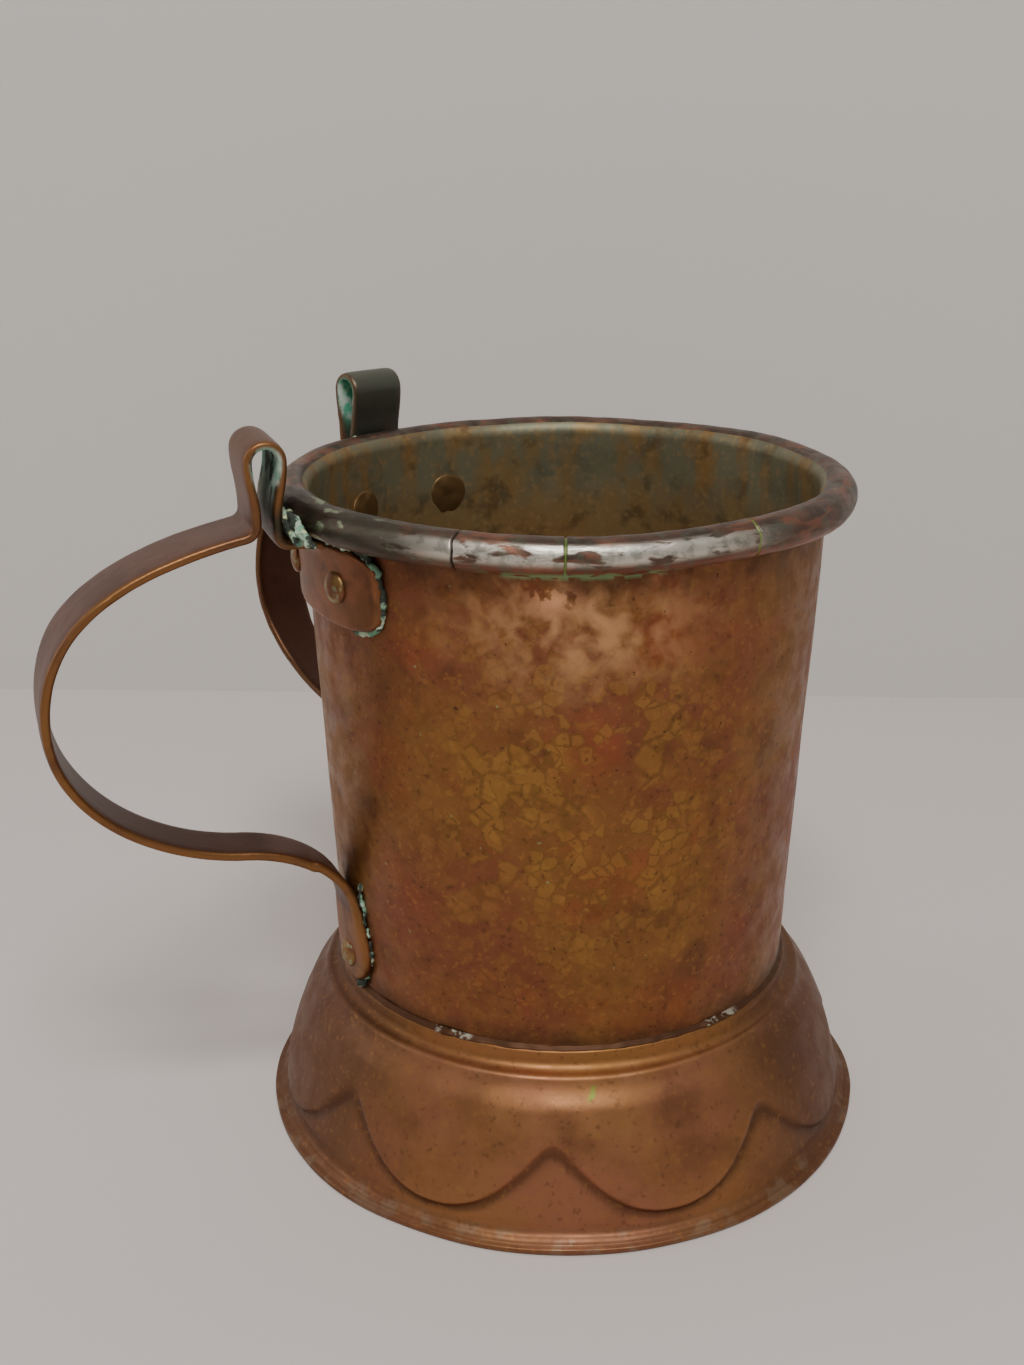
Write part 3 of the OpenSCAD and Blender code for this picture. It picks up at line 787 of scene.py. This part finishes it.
# Painted highlight along the foot's rounded ridge.
mark(foot, "painted_highlight_and_rub", np.exp(-(((spots[:, 2] - ridge[1] - 0.6 * mm) / (1.3 * mm)) ** 2)))
speck_way = (round_turn - 75.8 - 0.35 * (spots[:, 2] / mm - 30)) / 0.75
mark(foot, "speck", 1 - ease(np.hypot(speck_way, (spots[:, 2] - 29.6 * mm) / (1.7 * mm)), 0.6, 1.0))
mark(foot, "hem", 1 - ease(spots[:, 2], 2.2 * mm, 4.2 * mm))
# Painted shade: the foot is darkened towards its sides.
painted_shade_sides = np.maximum(1 - ease(degrees_round(spots), 12, 50), ease(degrees_round(spots), 95, 130))
mark(foot, "shade", painted_shade_sides)
close_up(foot)
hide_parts("foot")
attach(foot, "root")

# ---------------------------------------------------------------------------------------
# Foot seam: the fillet of tin solder run round between the foot's collar and the wall. It
# is patinated like the copper, but bare tin shows in two short stretches, with painted glints on it.
seam = 0.9 * mm
seam_profile = [
    (waist_radius - 0.1 * mm, foot_height - 0.2 * mm),
    (waist_radius + seam, foot_height - 0.2 * mm),
    (waist_radius + seam, foot_height),
    (waist_radius + seam * 0.55, foot_height + seam * 0.3),
    (waist_radius + seam * 0.3, foot_height + seam * 0.55),
    (wall_radius(foot_height + seam), foot_height + seam),
    (wall_radius(foot_height + seam) - 0.1 * mm, foot_height + seam),
]
seam_ring = lathe("seam_ring", seam_profile, np.radians(np.arange(0, 360, 0.6)))
spots = points_of(seam_ring)
round_turn = degrees_round(spots)
# Bare tin in two short stretches, painted pale as glints.
bare_tin_and_glint = np.maximum(
    ease(round_turn, 37, 39) * (1 - ease(round_turn, 46, 48.5)),
    ease(round_turn, 103.5, 106) * (1 - ease(round_turn, 114, 117)),
)
spoke = spots * (1, 1, 0) / np.linalg.norm(spots[:, :2], axis=1)[:, None]
lumpy = 0.25 * mm * random_field(spots, 3 * mm, 15) + bare_tin_and_glint * 0.35 * mm * (
    1 + random_field(spots, 1.5 * mm, 16)
)
free = ease(np.linalg.norm(spots[:, :2], axis=1) + spots[:, 2] * 0.6, 71.2 * mm, 71.7 * mm)
spots = spots + (spoke * 0.8 + (0, 0, 0.6)) * (lumpy * free)[:, None]
move_points(seam_ring, spots)
mark(seam_ring, "bare_tin_and_glint", bare_tin_and_glint)
seam_paint = Finish("seam_tin", 0.7, 0.55)
dull = seam_paint.mix(seam_paint.patches(6 * mm, 31.0), tone("5c3b24"), tone("472c1b"))
seam_paint.colour(
    seam_paint.mix(
        seam_paint.product(
            seam_paint.marked("bare_tin_and_glint"),
            seam_paint.band(seam_paint.patches(2.2 * mm, 32.0, 4.0), 0.51, 0.57),
        ),
        dull,
        tone("a39d8c"),
    )
)
seam_ring.data.materials.append(seam_paint.paint)
close_up(seam_ring)
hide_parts("foot_seam")
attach(seam_ring, "root")

# ---------------------------------------------------------------------------------------
# Handles: each is one forged copper strap. It starts as a head plate under the bead, folds
# out and up into a pinched thumb loop, swings round as the grip and ends in a leaf pad.
# The edges are worn bright with a painted highlight on them, the grip's inner faces carry
# painted shade, and the loops are green inside.
strap_thick = 2.2
plate_thick = 2.0
loop_wide = 8.8
limb_gap = 1.8
loop_lean = 0.2
neck_gap = 1.4
head_plate_wide = 49.0
head_plate_high = 16.5
pad_high = 21.0
pad_gap = 0.5
pad_wide = 15.5
low_run = 33.5
cup_h = cup_height / mm
rim_r = rim_radius / mm
bead_l = bead_low / mm
neck_u = rim_r + neck_gap + strap_thick / 2
loop_arc = (loop_wide - strap_thick) / 2
outer_neck_u = neck_u + strap_thick + limb_gap
loop_mid_u = (neck_u + outer_neck_u) / 2 - loop_lean
neck_z = cup_h - 2.4
tuck_z = bead_l - 0.1 - strap_thick / 2
head_top = bead_l - 0.8
head_low = head_top - head_plate_high
pad_low = (foot_height + seam) / mm + pad_gap
low_z = pad_low + low_run
elbow_arc = 2.6
elbow_tilt = math.radians(11)
elbow_z = cup_h - 4
elbow_end = np.array(
    [outer_neck_u + elbow_arc * (1 - math.sin(elbow_tilt)), elbow_z - elbow_arc * math.cos(elbow_tilt)]
)
grip_z = (elbow_end[1] + low_z) / 2
pad_bend_z = pad_low + pad_high - 4


def wall_u(z):
    """The wall's outer radius in millimetres at a height in millimetres."""
    return wall_radius(z * mm) / mm


def curve(a, b, c, d, steps):
    """Points on a cubic curve, without its first point."""
    t = (np.arange(1, steps + 1) / steps)[:, None]
    s = 1 - t
    a, b, c, d = (np.array(p, float) for p in (a, b, c, d))
    return s**3 * a + 3 * s * s * t * b + 3 * s * t * t * c + t**3 * d


def strap_line(rise, reach, sag):
    """Side view of a strap's middle line, from the head plate to the pad's tip."""
    loop_z = cup_h + rise - strap_thick / 2 - loop_arc
    loop_in, loop_out = loop_mid_u - loop_arc, loop_mid_u + loop_arc
    grip_u = rim_r + reach - strap_thick / 2
    low_u = rim_r + reach * 0.24
    grip_out = np.array([grip_u, grip_z - sag])
    low_end = np.array([low_u, low_z])
    plate_u = wall_u(tuck_z) + strap_thick / 2
    pad_bend = np.array([wall_u(pad_bend_z) + strap_thick / 2, pad_bend_z])
    way = np.array([math.cos(elbow_tilt), -math.sin(elbow_tilt)])
    pad_heights = np.linspace(pad_bend_z - 0.7, pad_low, 26)
    return np.vstack(
        [
            [[plate_u, tuck_z - 4.5]],
            arc((plate_u + 2, tuck_z - 2), 2, 180, -90, 6),
            arc((neck_u - 2, tuck_z + 2), 2, -90, 90, 6),
            [[neck_u, neck_z]],
            curve((neck_u, neck_z), (neck_u, neck_z + 3), (loop_in, loop_z - 4), (loop_in, loop_z), 8),
            arc((loop_mid_u, loop_z), loop_arc, 165, -165, 18),
            curve(
                (loop_out, loop_z),
                (loop_out, loop_z - 4),
                (outer_neck_u, neck_z + 3),
                (outer_neck_u, neck_z),
                8,
            ),
            arc((outer_neck_u + elbow_arc, elbow_z), elbow_arc, 180, 90 - math.degrees(elbow_tilt), 8),
            curve(
                elbow_end,
                elbow_end + (grip_u - elbow_end[0]) * 0.58 * way,
                grip_out + (0, (elbow_end[1] - grip_z) * 0.62),
                grip_out,
                40,
            ),
            curve(
                grip_out,
                grip_out - (0, (grip_out[1] - low_z) * 0.56),
                low_end + ((grip_u - low_u) * 0.5, 2),
                low_end,
                40,
            ),
            curve(
                low_end,
                low_end - ((low_u - pad_bend[0]) * 0.55, 1.4),
                pad_bend + (0.3, 8.5),
                pad_bend,
                20,
            ),
            np.stack([wall_u(pad_heights) + strap_thick / 2, pad_heights], -1),
        ]
    )


def half_widths(heights, loop, grip, low):
    """Half the strap's width where its middle line is at each height."""
    wide = low + (grip - low) * ease(heights, low_z - 2, grip_z + 4)
    wide = wide + (loop - grip) * ease(heights, grip_z + 10, tuck_z)
    tip = pad_wide / 2
    leaf = np.sqrt(np.clip(tip**2 - np.clip(tip - (heights - pad_low), 0, tip) ** 2, 0, None))
    leaf = leaf + (low / 2 - tip) * ease(heights, pad_low + tip, pad_bend_z + 6)
    return np.where(heights < pad_bend_z + 8, np.minimum(leaf, 9), wide / 2)


strap_rule = Rule(
    "forged_strap",
    {
        "Steps along": ("NodeSocketInt", 460),
        "Steps round": ("NodeSocketInt", 29),
        "Corner": ("NodeSocketFloat", 0.36),
        "Finish": ("NodeSocketMaterial", bead_paint.paint),
    },
)
rule = strap_rule
spine = rule.node("GeometryNodeMeshToCurve", {0: rule.want("Geometry")}).outputs[0]
skin_grid = rule.node(
    "GeometryNodeMeshGrid",
    {
        "Size X": 1.0,
        "Size Y": 1.0,
        "Vertices X": rule.want("Steps along"),
        "Vertices Y": rule.want("Steps round"),
    },
).outputs[0]
place = rule.node("GeometryNodeInputPosition", {}).outputs[0]
parts = rule.node("ShaderNodeSeparateXYZ", {0: place}).outputs
along = rule.math("ADD", parts[0], 0.5)
angle = rule.math("MULTIPLY", rule.math("ADD", parts[1], 0.5), 2 * math.pi)


def rounded(operation):
    """One side of a rounded rectangle that is traced by an angle."""
    wave = rule.math(operation, angle)
    size = rule.math("POWER", rule.math("ABSOLUTE", wave), rule.want("Corner"))
    return rule.product(rule.math("SIGN", wave), size)


def sampled(name):
    return rule.node(
        "GeometryNodeSampleCurve",
        {"Curves": spine, "Value": rule.field(name), "Factor": along},
        data_type="FLOAT",
        mode="FACTOR",
    ).outputs


wide_sample = sampled("half_width")
thick_sample = sampled("half_thick")
side_way = rule.node("FunctionNodeInputVector", {}, vector=(0, 1, 0)).outputs[0]
out_way = rule.vector("CROSS_PRODUCT", wide_sample["Tangent"], side_way)
offset = rule.vector(
    "ADD",
    rule.scaled(side_way, rule.product(rounded("COSINE"), wide_sample["Value"])),
    rule.scaled(out_way, rule.product(rounded("SINE"), thick_sample["Value"])),
)
swept = rule.node(
    "GeometryNodeSetPosition",
    {"Geometry": skin_grid, "Position": rule.vector("ADD", wide_sample["Position"], offset)},
)
welded = rule.node(
    "GeometryNodeMergeByDistance", {"Geometry": swept.outputs[0], "Distance": 0.005 * mm}
)
rule.end(welded.outputs[0])


def head_plate(shift):
    """The hammered plate that lies on the wall under the bead, in the handle's own frame."""
    rings, steps, corner = 26, 200, 4.6
    half = (head_plate_wide / 2, head_plate_high / 2)
    turns = np.arange(steps) * 2 * math.pi / steps
    edge = (np.abs(np.cos(turns) / half[0]) ** corner + np.abs(np.sin(turns) / half[1]) ** corner) ** (
        -1 / corner
    )
    shape = bmesh.new()
    layers = []
    for face in (1, -1):
        layer = []
        for i in range(rings + 1):
            part = 1 - (1 - i / rings) ** 2
            reach = edge * part
            to_edge = np.clip((1 - part) * edge / 0.9, 0, 1)
            z = head_top - head_plate_high / 2 + reach * np.sin(turns)
            thick = plate_thick * np.sqrt(1 - (1 - to_edge) ** 2) if face > 0 else -0.3 * (to_edge > 0)
            radius = wall_u(z) + thick
            turn = (reach * np.cos(turns) + shift) / wall_u(z)
            layer.append(
                [
                    shape.verts.new(p)
                    for p in np.stack([-radius * np.cos(turn), -radius * np.sin(turn), z], -1) * mm
                ]
            )
        layers.append(layer)
    for layer in layers:
        for i in range(rings):
            for j in range(steps):
                k = (j + 1) % steps
                shape.faces.new((layer[i][j], layer[i][k], layer[i + 1][k], layer[i + 1][j]))
    bmesh.ops.remove_doubles(shape, verts=shape.verts, dist=1e-7)
    bmesh.ops.recalc_face_normals(shape, faces=shape.faces)
    mesh = bpy.data.meshes.new("head_plate")
    shape.to_mesh(mesh)
    shape.free()
    return mesh


def forge(name, turn, shift, rise, reach, sag, widths, pad_set, paint):
    """Makes a handle along -X, marks it for its finish and turns it to its place."""
    line = strap_line(rise, reach, sag)
    wide = half_widths(line[:, 1], *widths)
    wide[: np.argmax(line[:, 1] > tuck_z + 1)] = widths[0] / 2
    thick = np.full(len(line), strap_thick / 2) - 0.12 * ease(line[:, 1], neck_z, neck_z + 6)
    thick[0] = thick[-1] = 0
    mesh = bpy.data.meshes.new(name)
    spine_points = [(-u * mm, -shift * mm, z * mm) for u, z in line]
    mesh.from_pydata(spine_points, [(i, i + 1) for i in range(len(line) - 1)], [])
    made = bpy.data.objects.new(name, mesh)
    bpy.context.scene.collection.objects.link(made)
    mark(made, "half_width", wide * mm)
    mark(made, "half_thick", thick * mm)
    strap_rule.run_on(made)
    points = points_of(made)
    hug = 1 - ease(points[:, 2], (pad_low + 14) * mm, (pad_low + 24) * mm)
    hug *= (points[:, 0] > -62 * mm) * (points[:, 2] < 75 * mm)
    lean = 1 - ease(points[:, 2], (pad_low + 9) * mm, (pad_low + 28) * mm)
    points[:, 1] -= pad_set * mm * lean * (points[:, 0] > -66 * mm) * (points[:, 2] < 75 * mm)
    hug = np.maximum(
        hug, (points[:, 0] > -58.5 * mm) * (1 - ease(points[:, 2], bead_low - 1.6 * mm, bead_low))
    )
    hug *= (points[:, 2] > 110 * mm) | (points[:, 2] < 75 * mm)
    radius = wall_radius(points[:, 2])
    points[:, 0] += hug * (radius - np.sqrt(radius**2 - points[:, 1] ** 2))
    move_points(made, points)
    shape = bmesh.new()
    shape.from_mesh(made.data)
    shape.from_mesh(head_plate(shift))
    bmesh.ops.recalc_face_normals(shape, faces=shape.faces)
    shape.to_mesh(made.data)
    shape.free()
    melt(made, 0.42 * mm, 4)
    points = points_of(made)
    flat = np.stack([-points[:, 0], points[:, 2]], -1) / mm
    nearest = np.concatenate(
        [np.argmin(((part[:, None] - line[None]) ** 2).sum(-1), 1) for part in np.array_split(flat, 40)]
    )
    away = np.linalg.norm(flat - line[nearest], axis=1)
    across = np.abs(points[:, 1] / mm + shift) / wide[nearest]
    on_plate = (away > 2) | (
        (flat[:, 1] < tuck_z - 0.5) & (flat[:, 1] > head_low - 1) & (flat[:, 0] < 57.5)
    )
    loop_z = cup_h + rise - strap_thick / 2 - loop_arc
    up = ease(flat[:, 1], neck_z, loop_z)
    gap_mid = (neck_u + outer_neck_u) / 2 + (loop_mid_u - (neck_u + outer_neck_u) / 2) * up
    gap_reach = np.hypot(flat[:, 0] - gap_mid, np.maximum(flat[:, 1] - loop_z, 0))
    limit = 1.1 + (loop_arc - 1.1) * up
    # The strap's edges: worn bright, with a painted highlight.
    mark(made, "edge", ease(across, 0.84, 0.98) * (~on_plate))
    mark(
        made,
        "mint",
        (1 - ease(gap_reach - limit, -0.7, 0.1)) * ease(flat[:, 1], neck_z - 1.5, neck_z + 0.5),
    )
    mark(made, "loop", ease(flat[:, 1], neck_z - 2, neck_z + 3))
    near_bead = np.hypot(flat[:, 0] - 61, flat[:, 1] - 140)
    step = line[np.minimum(nearest + 1, len(line) - 1)] - line[np.maximum(nearest - 1, 0)]
    gap = flat - line[nearest]
    facing_in = (step[:, 0] * gap[:, 1] - step[:, 1] * gap[:, 0]) / np.linalg.norm(step, axis=1)
    # Painted shade on the grip's inner faces, turned towards the cup.
    on_grip = ease(flat[:, 0], outer_neck_u - 1, outer_neck_u + 2) * (flat[:, 1] < elbow_z + 3)
    mark(made, "inner", ease(-facing_in, 0.4, 1.0) * on_grip)
    mark(made, "damp", (1 - ease(near_bead, 1.5, 5.5)))
    mark(made, "flat_part", np.where(on_plate | (flat[:, 1] < pad_bend_z), 1.0, 0.0))
    wobble = 0.14 * mm * random_field(points, 11 * mm, 30 + turn) + 0.05 * mm * random_field(
        points, 3.5 * mm, 31
    )
    points[:, 0] -= wobble
    points[:, 2] += wobble * 0.5
    move_points(made, points)
    made.data.transform(Matrix.Rotation(math.radians(-turn), 4, "Z"))
    made.data.materials.clear()
    made.data.materials.append(paint)
    made.data.shade_smooth()
    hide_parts(name)
    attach(made, "root")
    return made


def melt(thing, voxel, smoothing):
    """Joins a piece's overlapping shapes into one smooth skin."""
    remesh = thing.modifiers.new("join", "REMESH")
    remesh.mode = "VOXEL"
    remesh.voxel_size = voxel
    remesh.use_smooth_shade = True
    smooth = thing.modifiers.new("smooth", "SMOOTH")
    smooth.factor = 0.5
    smooth.iterations = smoothing
    settle(thing)


def strap_finish(name, seed, loop_tone, mint_tone, edge_wear_and_highlight_tone, inner_tone):
    paint = Finish(name, 0.78, 0.42)
    skin = paint.mix(
        paint.band(paint.patches(14 * mm, seed, 4.0), 0.38, 0.62), tone("6b4739"), tone("5d3c2e")
    )
    plate_skin = paint.mix(
        paint.band(paint.patches(8 * mm, seed + 8, 4.0), 0.4, 0.6), tone("8d5a3c"), tone("7a5032")
    )
    skin = paint.mix(paint.marked("flat_part"), skin, plate_skin)
    skin = paint.cover(
        paint.product(paint.band(paint.patches(4 * mm, seed + 1, 5.0), 0.5, 0.7), 0.5), skin, "472e24"
    )
    # Painted shade on the grip's inner faces.
    skin = paint.cover(paint.product(paint.marked("inner"), 0.8), skin, inner_tone)
    skin = paint.cover(paint.product(paint.marked("loop"), 0.75), skin, loop_tone)
    # Edges worn bright with a painted highlight, broken into patches.
    painted_highlight_and_rub = paint.band(paint.patches(9 * mm, seed + 2, 5.0), 0.30, 0.55, 0.35, 1.0)
    skin = paint.cover(paint.product(paint.marked("edge"), painted_highlight_and_rub, 0.8), skin, edge_wear_and_highlight_tone)
    damp = paint.product(
        paint.marked("damp"), paint.band(paint.patches(4 * mm, seed + 3, 4.0), 0.36, 0.5), 0.85
    )
    skin = paint.cover(damp, skin, "2f352c")
    green = paint.mix(
        paint.band(paint.patches(2.4 * mm, seed + 4, 5.0), 0.42, 0.6), tone(mint_tone), tone("b9c9ba")
    )
    dark_crust = paint.band(paint.patches(3.5 * mm, seed + 5, 5.0, 0.0, (1, 1, 0.5)), 0.52, 0.60)
    green = paint.mix(dark_crust, green, tone("26332e"))
    coated = paint.product(paint.marked("mint"), paint.band(paint.patches(6 * mm, seed + 6), 0.25, 0.4))
    skin = paint.mix(coated, skin, green)
    paint.colour(skin)
    paint.set("Metallic", paint.band(coated, 0.1, 0.9, 0.78, 0.1))
    paint.set("Roughness", paint.band(coated, 0.1, 0.9, 0.42, 0.75))
    paint.bump(paint.patches(1.4 * mm, seed + 7, 4.0), 0.08 * mm, 0.7)
    return paint.paint


front_shift, rear_shift, front_pad_set = 4.2, 1.3, 2.0
front_rise, rear_rise = 12.2, 13.0
front_reach, rear_reach = 49.7, 46.5
front_widths, rear_widths = (18.0, 20.0, 11.5), (13.5, 15.0, 11.0)
rear_turn = 67.0
front_strap_paint = strap_finish("front_strap_copper", 40.0, "6e4834", "86b3a0", "8c6136", "4e3429")
rear_strap_paint = strap_finish("rear_strap_copper", 60.0, "5d675c", "4fa482", "664629", "41271a")
forge(
    "front_handle",
    0.0,
    front_shift,
    front_rise,
    front_reach,
    0.0,
    front_widths,
    front_pad_set,
    front_strap_paint,
)
forge(
    "rear_handle", rear_turn, rear_shift, rear_rise, rear_reach, 6.0, rear_widths, 0.0, rear_strap_paint
)

# ---------------------------------------------------------------------------------------
# Solder and verdigris: soft solder was run between each strap and the bead. Verdigris has
# grown on it as a rough pale crust, along the head plate's edge and beside the leaf pad.


def on_wall(lateral, z, off):
    """A point on the wall in a handle's frame, in millimetres round, up and off the wall."""
    turn = lateral / wall_u(z)
    radius = wall_u(z) + off
    return (-radius * math.cos(turn), -radius * math.sin(turn), z)


def crust_line(points, spacing, sizes, seed):
    """Random balls along a line of points, as (centre, radius) in millimetres."""
    points = np.array(points, float)
    lengths = np.concatenate([[0], np.cumsum(np.linalg.norm(np.diff(points, axis=0), axis=1))])
    dice = np.random.default_rng(seed)
    balls = []
    for far in np.arange(0, lengths[-1], spacing):
        centre = [np.interp(far, lengths, points[:, i]) for i in range(3)]
        balls.append((np.array(centre) + dice.uniform(-0.25, 0.25, 3), dice.uniform(*sizes)))
    return balls


def crust(name, turn, balls, paint, node):
    shape = bmesh.new()
    for number, (centre, radius) in enumerate(balls):
        made = bmesh.ops.create_icosphere(shape, subdivisions=2, radius=1)
        for vert in made["verts"]:
            swell = 1 + 0.4 * noise.noise(vert.co * 1.6 + Vector((number * 3.1, 0, 0)))
            vert.co = (Vector(centre) + vert.co * radius * swell) * mm
    mesh = bpy.data.meshes.new(name)
    shape.to_mesh(mesh)
    shape.free()
    made = bpy.data.objects.new(name, mesh)
    bpy.context.scene.collection.objects.link(made)
    melt(made, 0.28 * mm, 1)
    made.data.transform(Matrix.Rotation(math.radians(-turn), 4, "Z"))
    made.data.materials.append(paint)
    made.data.shade_smooth()
    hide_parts(node)
    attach(made, "root")
    return made


crust_paint = Finish("verdigris", 0.0, 0.75)
skin = crust_paint.mix(
    crust_paint.band(crust_paint.patches(2.6 * mm, 81.0, 4.0), 0.42, 0.58),
    tone("6f9c80"),
    tone("b9cfb4"),
)
skin = crust_paint.cover(
    crust_paint.band(crust_paint.patches(4 * mm, 82.0, 4.0), 0.54, 0.62), skin, "d9dba6"
)
skin = crust_paint.cover(
    crust_paint.band(crust_paint.patches(3 * mm, 83.0, 4.0), 0.46, 0.54), skin, "2b3329"
)
crust_paint.colour(skin)
crust_paint.bump(crust_paint.patches(0.8 * mm, 84.0, 4.0), 0.15 * mm, 0.8)


def crust_balls(shift, loop_wide_here, pad_set, seed):
    half = loop_wide_here / 2
    plate_edge = shift + head_plate_wide / 2
    wedge = [(-61.0, -(shift + y), 141.2) for y in (half - 0.5, -half + 0.5)]
    balls = crust_line(wedge, 0.9, (0.9, 1.4), seed)
    balls += crust_line(
        [(-60.8, -(shift + half), 140.6), (-59.5, -(shift + half + 3), 137.6)],
        0.7,
        (0.8, 1.3),
        seed + 1,
    )
    spread = [(-60.4, -(shift + half + 0.8), 142.8), (-59.6, -(shift + half + 4), 140.2)]
    spread.append((-57.6, -(shift + half + 8), 137.4))
    balls += crust_line(spread, 0.8, (0.7, 1.2), seed + 6)
    top = [on_wall(s, head_top + 0.2, 1.2) for s in np.linspace(shift + half, plate_edge - 3, 8)]
    balls += crust_line(top, 1.1, (0.45, 0.8), seed + 2)
    side = [
        on_wall(plate_edge - 3.5, head_top - 0.4, 0.8),
        on_wall(plate_edge - 0.8, head_top - 3.5, 0.5),
        on_wall(plate_edge, head_top - 8, 0.4),
        on_wall(plate_edge - 0.8, head_low + 4, 0.4),
        on_wall(plate_edge - 4, head_low + 0.4, 0.3),
        on_wall(plate_edge - 9, head_low, 0.2),
    ]
    balls += crust_line(side, 0.8, (0.55, 1.05), seed + 3)
    pad_edge = shift + pad_set + pad_wide / 2
    beside = [
        on_wall(pad_edge - 2.4, pad_low + 24, 0.5),
        on_wall(pad_edge - 1.4, pad_low + 16, 0.4),
        on_wall(pad_edge - 0.2, pad_low + 8, 0.3),
        on_wall(pad_edge - 2.5, pad_low + 2.4, 0.4),
        on_wall(pad_edge - 4.5, pad_low + 0.6, 0.6),
    ]
    balls += crust_line(beside, 0.9, (0.35, 0.7), seed + 4)
    balls += crust_line(
        [beside[-1], on_wall(pad_edge - 5, pad_low - 0.4, 1.2)], 0.6, (0.9, 1.2), seed + 5
    )
    return balls


crust(
    "front_crust",
    0.0,
    crust_balls(front_shift, front_widths[0], front_pad_set, 5),
    crust_paint.paint,
    "front_solder",
)
crust(
    "rear_crust",
    rear_turn,
    crust_balls(rear_shift, rear_widths[0], 0.0, 9),
    crust_paint.paint,
    "rear_solder",
)

# ---------------------------------------------------------------------------------------
# Rivets: six copper rivets hammered cold. Each has a small domed head on the plate, a
# shank through plate and wall, and a wide flat head inside the cup.
rivet_z = head_low + head_plate_high / 2
pad_rivet_z = pad_low + pad_wide / 2 - 1.5
outer_head = (3.2, 3.2, 1.5)
inner_head = (4.7, 4.7, 0.6)
shank = (2.0, 2.0, 1.6)

rivet_paint = Finish("rivet_copper", 0.8, 0.42)
skin = rivet_paint.mix(
    rivet_paint.band(rivet_paint.patches(3 * mm, 91.0, 3.0), 0.4, 0.6), tone("7a4f38"), tone("8a6a40")
)
skin = rivet_paint.cover(
    rivet_paint.product(rivet_paint.band(rivet_paint.patches(1.6 * mm, 92.0, 3.0), 0.54, 0.62), 0.5),
    skin,
    "9aa886",
)
inner_skin = rivet_paint.mix(rivet_paint.patches(4 * mm, 93.0, 4.0), tone("8a6c45"), tone("6d5637"))
rivet_paint.colour(rivet_paint.mix(rivet_paint.marked("inside"), skin, inner_skin))
rivet_rule = Rule(
    "hammered_heads",
    {
        "Dent size": ("NodeSocketFloat", 2.6 * mm),
        "Dent depth": ("NodeSocketFloat", 0.55 * mm),
        "Finish": ("NodeSocketMaterial", rivet_paint.paint),
    },
)
rule = rivet_rule
ball = rule.node("GeometryNodeMeshUVSphere", {"Segments": 40, "Rings": 24, "Radius": 1.0}).outputs[0]
turned = rule.node("FunctionNodeEulerToRotation", {0: rule.field("aim", "FLOAT_VECTOR")}).outputs[0]
heads = rule.node(
    "GeometryNodeInstanceOnPoints",
    {
        "Points": rule.want("Geometry"),
        "Instance": ball,
        "Rotation": turned,
        "Scale": rule.field("size", "FLOAT_VECTOR"),
    },
)
solid = rule.node("GeometryNodeRealizeInstances", {"Geometry": heads.outputs[0]}).outputs[0]
place = rule.node("GeometryNodeInputPosition", {}).outputs[0]
dent_scale = rule.math("DIVIDE", 1.0, rule.want("Dent size"))
dent_inputs = {"Vector": place, "Scale": dent_scale, "Detail": 1.0}
dent_noise = rule.node("ShaderNodeTexNoise", dent_inputs).outputs[1]
dent = rule.scaled(rule.vector("SUBTRACT", dent_noise, (0.5, 0.5, 0.5)), rule.want("Dent depth"))
hammered = rule.node("GeometryNodeSetPosition", {"Geometry": solid, "Offset": dent})
rule.end(hammered.outputs[0])


def rivet_set(name, turn, places, nodes):
    """Rivets at (lateral, height) places of one handle, all on its own body."""
    points, aims, sizes = [], [], []
    for lateral, z in places:
        way = lateral / wall_u(z)
        for off, size in ((plate_thick, outer_head), (-sheet / mm, inner_head), (0.4, shank)):
            points.append(Vector(on_wall(lateral, z, off)) * mm)
            aims.append((0, math.pi / 2, math.pi + way))
            sizes.append([v * mm for v in size])
    mesh = bpy.data.meshes.new(name)
    mesh.from_pydata(points, [], [])
    made = bpy.data.objects.new(name, mesh)
    bpy.context.scene.collection.objects.link(made)
    for label, values in (("aim", aims), ("size", sizes)):
        layer = mesh.attributes.new(label, "FLOAT_VECTOR", "POINT")
        layer.data.foreach_set("vector", np.array(values, float).ravel())
    rivet_rule.run_on(made)
    made.data.transform(Matrix.Rotation(math.radians(-turn), 4, "Z"))
    spots = points_of(made)
    depth = np.linalg.norm(spots[:, :2], axis=1) - wall_radius(spots[:, 2])
    mark(made, "inside", 1 - ease(depth, -1.0 * mm, -0.2 * mm))
    close_up(made)
    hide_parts(*nodes)
    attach(made, "root")


front_pitch, rear_pitch = 24.4, 25.8
for side, turn, shift, pitch, pad_set in (
    ("front", 0.0, front_shift, front_pitch, front_pad_set),
    ("rear", rear_turn, rear_shift, rear_pitch, 0.0),
):
    rivet_set(
        side + "_rivets",
        turn,
        [(shift + pitch / 2, rivet_z), (shift - pitch / 2, rivet_z), (shift + pad_set, pad_rivet_z)],
        [side + "_rivet_upper_1", side + "_rivet_upper_2", side + "_rivet_lower"],
    )
